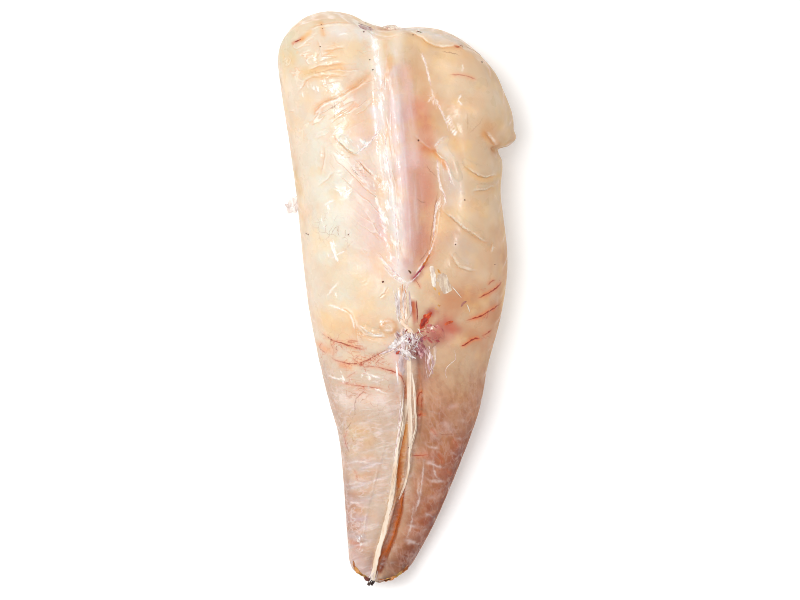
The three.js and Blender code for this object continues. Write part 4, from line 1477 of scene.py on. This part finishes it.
SHRED_WHITE = (232, 225, 222)
SHRED_SHADE_GREY = (214, 206, 202)
SHRED_LILAC = (214, 194, 194)
SHRED_PEACH = (228, 198, 172)
SHRED_WHITES = [SHRED_WHITE, (204, 186, 184), SHRED_LILAC, (172, 130, 136), (222, 198, 184), (214, 204, 206)]
STRAND_COLOURS = [SHRED_WHITE, SHRED_PEACH, (222, 166, 124), (232, 206, 190), (238, 226, 214)]
LILACS = [(206, 174, 170), (188, 148, 148), (222, 200, 196)]
RAW_PINKS = [(170, 84, 78), (160, 74, 72), (186, 110, 102)]
MAUVES = [(160, 106, 112), (186, 136, 138), (138, 82, 92), (206, 172, 174)]
RAW_RED = (190, 60, 26)
DARK_RED = (140, 52, 40)

# Raw tissue right of the vent: the gash with its dark middle, then soft pink and mauve tufts, and a dark purple
# shred in the vent that is painted shadow
torn_piece("raw_tissue", raw_finish, [
    shred(DARK_RED, 0.3, 0.15, (416, 300), (417, 311), (417, 323), puff=0.05),
    shred((184, 60, 26), 1.8, 0.1, (420, 329), (424, 321), (431, 312), blunt=0.3, puff=0.2),
    shred((146, 40, 24), 0.9, 0.3, (420, 327), (423, 323), (427, 317), puff=0.2),
    shred((206, 96, 44), 0.5, 0.35, (425, 317), (428, 314), (431, 312), puff=0.15),
    shred((196, 140, 70), 0.8, 0.0, (431, 313), (436, 309), (440, 305), blunt=0.3, puff=0.1),
    shred((162, 108, 112), 1.5, 0.1, (417, 344), (420, 350), (421, 358), blunt=0.3, puff=0.15),
    shred((196, 92, 50), 0.8, 0.1, (444, 325), (449, 322), (453, 321), blunt=0.2, puff=0.1),
    # Painted shadow: a dark purple shred in a gap of the white clump
    shred((124, 74, 84), 0.6, 0.4, (409, 335), (409, 341), (411, 347), puff=0.15),
    *tuft(RAW_PINKS, 16, (431, 333), (12, 9), 10, 40, 7, 0.45, 0.12, 1, puff=0.12),
    *tuft(MAUVES, 26, (420, 347), (6, 12), 80, 40, 6, 0.5, 0.2, 2, puff=0.2),
])

# Strands above the vent, its white middle and the lilac threads below it
torn_piece("vent_shreds", shred_finish, [
    shred(SHRED_PEACH, 0.8, 0.3, (400, 286), (401, 300), (402, 312), (405, 324)),
    shred(SHRED_WHITE, 0.5, 0.4, (398, 287), (399, 302), (400, 318)),
    shred(SHRED_WHITE, 0.35, 0.4, (403, 290), (403, 302), (404, 316)),
    shred(SHRED_PEACH, 0.45, 0.3, (406, 287), (406, 302), (407, 320)),
    shred(SHRED_WHITE, 0.3, 0.5, (395, 292), (397, 306), (398, 320)),
    shred(SHRED_LILAC, 0.6, 0.5, (409, 291), (410, 304), (411, 317)),
    shred(SHRED_PEACH, 1.0, 0.6, (399, 317), (404, 324), (410, 330), (415, 334)),
    *tuft(LILACS, 16, (430, 361), (4, 12), 88, 16, 10, 0.35, 0.2, 3),
    shred(SHRED_LILAC, 1.5, 0.1, (401, 354), (401, 364), (403, 375), puff=0.15),
    shred(SHRED_WHITE, 0.5, 0.2, (396, 360), (397, 372), (398, 385)),
    shred(SHRED_LILAC, 0.5, 0.3, (398, 345), (390, 350), (379, 354)),
    shred(SHRED_PEACH, 0.4, 0.3, (396, 349), (388, 353), (378, 358)),
    # Painted shade: a grey copy of the white tissue in the clump's shaded middle
    shred(SHRED_SHADE_GREY, 1.2, 0.4, (408, 333), (401, 338), (395, 343), (388, 348), puff=0.5),
    shred(SHRED_WHITE, 0.9, 0.6, (405, 337), (400, 342), (395, 346), (391, 350), puff=0.5),
    shred(SHRED_LILAC, 1.1, 0.4, (401, 340), (403, 346), (401, 354), puff=0.5),
    shred(SHRED_WHITE, 0.5, 0.8, (411, 332), (413, 338), (412, 345), puff=0.4),
    shred(SHRED_WHITE, 0.8, 0.7, (398, 347), (404, 351), (410, 355), (416, 358), puff=0.5),
    *tuft(SHRED_WHITES, 84, (406, 343), (12, 15), 60, 70, 6, 0.42, 0.7, 4),
    *tuft(SHRED_WHITES, 10, (417, 338), (5, 9), 60, 60, 6, 0.35, 0.5, 5),
    *tuft(STRAND_COLOURS, 22, (403, 305), (6, 18), 88, 8, 13, 0.26, 0.4, 6),
])

# Clots in the vent, by the backbone's end and along the head cut, and a dark shred in the vent that is painted
# shadow
torn_piece("blood_clots_and_shade", raw_finish, [
    shred(RAW_RED, 0.7, 0.9, (396, 354), (398, 352), (400, 350)),
    shred(DARK_RED, 0.4, 1.2, (405, 332), (406, 330), (408, 329)),
    # Painted shadow: a dark shred under the white clump's edge
    shred((120, 48, 52), 0.5, 0.8, (416, 350), (417, 353), (416, 356)),
    shred((178, 150, 146), 0.9, 0.2, (358, 27), (365, 30), (374, 31), puff=0.15),
    shred((126, 88, 80), 0.22, 0.3, (358, 25), (365, 27), (372, 29), puff=0.1),
    shred((150, 40, 26), 0.3, 0.1, (295, 44), (298, 43), (302, 41), puff=0.1),
    shred((176, 74, 40), 0.25, 0.1, (368, 29), (370, 29), (372, 30), puff=0.1),
    shred((150, 60, 60), 0.3, 1.1, (408, 336), (410, 339), (410, 343)),
    shred((164, 62, 84), 0.6, 0.3, (413, 279), (419, 272), (425, 265)),
    shred((196, 116, 54), 0.4, 0.4, (421, 268), (426, 261), (430, 253)),
    shred((112, 78, 40), 0.5, 0.3, (408, 271), (410, 272), (411, 274)),
])


# Fat: a thin, pale flake beside the backbone's end with a torn sliver on its left, and small scraps below.
# They are stuck flat to the wet fillet, so they are shreds with blunt ends.
FAT = (208, 190, 166)
FAT_PALE = (222, 210, 194)
FAT_YELLOW = (206, 150, 74)
torn_piece("fat_flecks", shred_finish, [
    shred(FAT, 3.0, 0.1, (440, 274), (443, 282), (448, 293), thickness=0.3, blunt=0.7, puff=0.1),
    shred(FAT_PALE, 1.3, 0.3, (431, 266), (433, 276), (434, 287), thickness=0.4, blunt=0.7, puff=0.15),
    shred(FAT_YELLOW, 0.6, 0.1, (437, 269), (439, 272), (441, 275), puff=0.1),
    shred(FAT_YELLOW, 0.8, 0.0, (432, 286), (436, 290), (440, 296), puff=0.1),
    shred(FAT_PALE, 0.3, 0.4, (451, 286), (456, 292), (461, 298)),
    shred(FAT_YELLOW, 0.7, 0.0, (437, 310), (438, 307), (438, 304), puff=0.1),
    shred((158, 104, 92), 0.6, 0.1, (460, 307), (463, 303), (466, 301), puff=0.15),
    shred(FAT_PALE, 0.3, 0.3, (466, 304), (468, 308), (469, 312)),
])


# Edge: shreds of membrane that were pulled loose and hang free from the left side.
# They are rooted in the flesh and stand out level from it.
EDGE_HEIGHT = 22
EDGE_GREY = (236, 232, 226)
torn_piece("edge_shreds", shred_finish, [
    shred(EDGE_GREY, 2.2, 0.3, (306, 195), (300, 198), (293, 202), (286, 207), blunt=0.7, hung=EDGE_HEIGHT),
    shred(EDGE_GREY, 1.6, 0.5, (306, 202), (300, 206), (293, 210), (287, 210), blunt=0.7,
          hung=EDGE_HEIGHT + 1),
    shred((228, 198, 180), 0.9, 0.4, (306, 190), (301, 194), (296, 197), hung=EDGE_HEIGHT + 2),
])


# Tip: a ragged fringe of dried skin left round the cut end, and the dark stub of the fin's tendons.
# It is a row of short shreds that lap over the tip's edge.
FRINGE_YELLOW = (198, 146, 72)
FRINGE_BROWN = (164, 104, 58)
FRINGE_OLIVE = (172, 140, 76)
torn_piece("tip_fringe", raw_finish, [
    shred(FRINGE_BROWN, 0.65, 0.2, (353, 561), (354, 566), (356, 570), blunt=0.6, puff=0.2),
    shred(FRINGE_YELLOW, 0.78, 0.3, (354, 567), (358, 572), (362, 575), blunt=0.6, puff=0.2),
    shred(FRINGE_OLIVE, 0.72, 0.3, (358, 573), (363, 576), (367, 578), blunt=0.6, puff=0.2),
    shred((110, 60, 50), 0.9, 0.3, (364, 577), (367, 580), (370, 582), blunt=0.6),
    shred(FRINGE_BROWN, 0.65, 0.2, (378, 580), (384, 581), (390, 580), blunt=0.6, puff=0.2),
    shred(FRINGE_YELLOW, 0.78, 0.3, (386, 580), (392, 579), (397, 576), blunt=0.6, puff=0.2),
    shred(FRINGE_OLIVE, 0.65, 0.3, (394, 578), (399, 575), (403, 571), blunt=0.6, puff=0.2),
    shred(FRINGE_BROWN, 0.65, 0.2, (401, 573), (406, 570), (409, 565), blunt=0.6, puff=0.2),
    shred(SHRED_WHITE, 0.5, 0.6, (375, 570), (372, 577), (369, 583)),
    shred(SHRED_WHITE, 0.4, 0.7, (378, 571), (376, 578), (374, 583)),
    shred(SHRED_WHITE, 0.4, 0.6, (372, 571), (370, 577), (367, 581)),
    shred((62, 42, 32), 0.8, 0.4, (371, 578), (370, 582), (368, 586), blunt=0.9),
    shred((54, 36, 28), 0.8, 0.4, (374, 579), (373, 583), (371, 586), blunt=0.9),
])


# Backbone end: the cut bone in the head end's face, a cupped disc with the nerve's arch under it.
# The disc is a cylinder, inset and pushed in step by step to a cone, and roughened.
BONE_RADIUS = 5.0 * MM
BONE_DEPTH = 6.0 * MM
BONE_STAND = 0.8 * MM
CUP_STEPS = [(0.7, 0.0), (0.5, -0.4), (1.3, -1.1), (1.2, -1.0)]
ARCH_DROP = 7.4 * MM
ARCH_RADIUS = 2.2 * MM
ARCH_WALL = 0.8 * MM
BONE_WEAR = 0.4 * MM
BONE_ROUGHNESS = 0.35 * MM
BONE_GRAIN = 2.5 * MM
bone_face = level[0]
bone_lean = level[3]
bone_turn = Vector((-level[1], 1, -bone_lean)).to_track_quat("Z", "Y").to_euler()
bpy.ops.object.select_all(action="DESELECT")
bpy.ops.mesh.primitive_cylinder_add(
    vertices=48, radius=BONE_RADIUS, depth=BONE_DEPTH, rotation=bone_turn,
    location=(bone_x, bone_face - BONE_DEPTH / 2 + BONE_STAND, CUT_MIDDLE_HEIGHT))
bone = bpy.context.object
bpy.ops.object.transform_apply(location=True, rotation=True, scale=True)
bpy.ops.object.mode_set(mode="EDIT")
bpy.ops.mesh.select_all(action="DESELECT")
bpy.ops.object.mode_set(mode="OBJECT")
for face in bone.data.polygons:
    face.select = face.normal.y > 0.8
bpy.ops.object.mode_set(mode="EDIT")
for inward, deeper in CUP_STEPS:
    bpy.ops.mesh.inset(thickness=inward * MM, depth=deeper * MM)
bpy.ops.object.mode_set(mode="OBJECT")
bpy.ops.mesh.primitive_torus_add(
    major_radius=ARCH_RADIUS, minor_radius=ARCH_WALL, major_segments=32, minor_segments=12,
    rotation=bone_turn,
    location=(bone_x, bone_face - bone_lean * ARCH_DROP + BONE_STAND / 2, CUT_MIDDLE_HEIGHT - ARCH_DROP))
arch = bpy.context.object
bpy.ops.object.transform_apply(location=True, rotation=True, scale=True)
bone = joined([bone, arch], "backbone_end")
bevel = bone.modifiers.new("worn", "BEVEL")
bevel.width = BONE_WEAR
bevel.segments = 2
bpy.ops.object.modifier_apply(modifier=bevel.name)
for vertex in bone.data.vertices:
    vertex.co += BONE_ROUGHNESS * noise.noise_vector(vertex.co / BONE_GRAIN)
bpy.ops.object.shade_smooth_by_angle(angle=math.radians(50))
bone_finish = flecked_material(
    "bone", film_values=(900, 0.5, 0.3), base=(222, 208, 190), fleck=(170, 98, 82),
    grain=(520, 3, 0.6), cover=(0.5, 0.62, 0, 0.7), height=0.35)
bone.data.materials.append(bone_finish)
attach(bone, "root")


# Specks: grit and clotted blood stuck to the wet surface.
# Each is a small ball, pressed flat and roughened, half sunk where it lies.
SPECK_SHAPE = (1.0, 0.8, 0.5)
SPECK_ROUGHNESS = 0.2 * MM
SPECK_GRAIN = 0.5 * MM
SPECKS = [
    (307, 234, 0.4), (309, 235, 0.5), (349, 235, 0.35), (383, 282, 0.6), (418, 142, 0.6), (464, 201, 0.45),
    (455, 245, 0.4), (494, 265, 0.35), (481, 64, 0.55), (409, 447, 0.5), (373, 72, 0.45), (370, 62, 0.35),
    (322, 27, 0.35), (323, 31, 0.3), (364, 34, 0.5), (321, 49, 0.35), (413, 37, 0.4),
]
speck_objects = []
for x, y, radius in SPECKS:
    hit = resting(seen((x, y))[0])
    bpy.ops.mesh.primitive_ico_sphere_add(subdivisions=2, radius=radius * MM, location=hit)
    speck = bpy.context.object
    speck.scale = SPECK_SHAPE
    bpy.ops.object.transform_apply(location=True, rotation=True, scale=True)
    speck_objects.append(speck)
specks = joined(speck_objects, "specks")
for vertex in specks.data.vertices:
    vertex.co += SPECK_ROUGHNESS * noise.noise_vector(vertex.co / SPECK_GRAIN)
bpy.ops.object.shade_smooth()
speck_finish = flecked_material(
    "speck", film_values=(900, 0.5, 0.3), base=(76, 38, 28), fleck=(128, 64, 40),
    grain=(900, 2), cover=(0.45, 0.6), height=0.2)
specks.data.materials.append(speck_finish)
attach(specks, "root")


# Table: a plain white sheet that the tail lies on, with a large soft light from the upper left.
# A smaller lamp at the same place makes the glints alone, and a white sky fills the shadows.
TABLE_SIZE = 6
TABLE_WHITE = (0.9, 0.9, 0.9, 1)
TABLE_GLOW = 0.16
SKY_STRENGTH = 0.72
bpy.ops.object.select_all(action="DESELECT")
bpy.ops.mesh.primitive_plane_add(size=TABLE_SIZE)
table = bpy.context.object
table.name = "table"
white = bpy.data.materials.new("white_sheet")
white.use_nodes = True
sheet = white.node_tree.nodes["Principled BSDF"]
sheet.inputs["Base Color"].default_value = TABLE_WHITE
sheet.inputs["Roughness"].default_value = 0.9
sheet.inputs["Emission Color"].default_value = (1, 1, 1, 1)
sheet.inputs["Emission Strength"].default_value = TABLE_GLOW
table.data.materials.append(white)


def soft_box(name, place, size, power):
    """A square studio light that points at the middle of the tail."""
    light = bpy.data.lights.new(name, "AREA")
    light.size = size
    light.energy = power
    lamp = bpy.data.objects.new(name, light)
    lamp.location = place
    lamp.rotation_euler = (-Vector(place)).to_track_quat("-Z", "Y").to_euler()
    lamp.visible_camera = False
    bpy.context.collection.objects.link(lamp)
    return lamp


key_light = soft_box("key_light", (-0.44, 0.23, 1.41), 0.8, 17)
key_light.visible_glossy = False
glint_light = soft_box("glint_light", (-0.46, 0.24, 1.39), 0.3, 8.5)
glint_light.visible_diffuse = False
sky = bpy.data.worlds.new("studio")
sky.use_nodes = True
sky.node_tree.nodes["Background"].inputs["Color"].default_value = (1, 1, 1, 1)
sky.node_tree.nodes["Background"].inputs["Strength"].default_value = SKY_STRENGTH
bpy.context.scene.world = sky
bpy.context.scene.view_settings.view_transform = "Standard"
bpy.context.scene.cycles.filter_width = 1.0

# Camera: straight above, far enough away that the outline is not drawn in by perspective.
# Its lens shows the photograph's frame at the height of the tail's widest outline.
FRAME_PIXELS = (800, 600)
CAMERA_HEIGHT = 3.0
camera_data = bpy.data.cameras.new("camera")
camera_data.sensor_width = 36
camera_data.lens = camera_data.sensor_width * (CAMERA_HEIGHT - WAIST_HEIGHT) / (FRAME_PIXELS[0] * PIXEL)
camera = bpy.data.objects.new("camera", camera_data)
middle = seen((FRAME_PIXELS[0] / 2, FRAME_PIXELS[1] / 2))[0]
camera.location = (middle[0], middle[1], CAMERA_HEIGHT)
bpy.context.collection.objects.link(camera)
bpy.context.scene.camera = camera
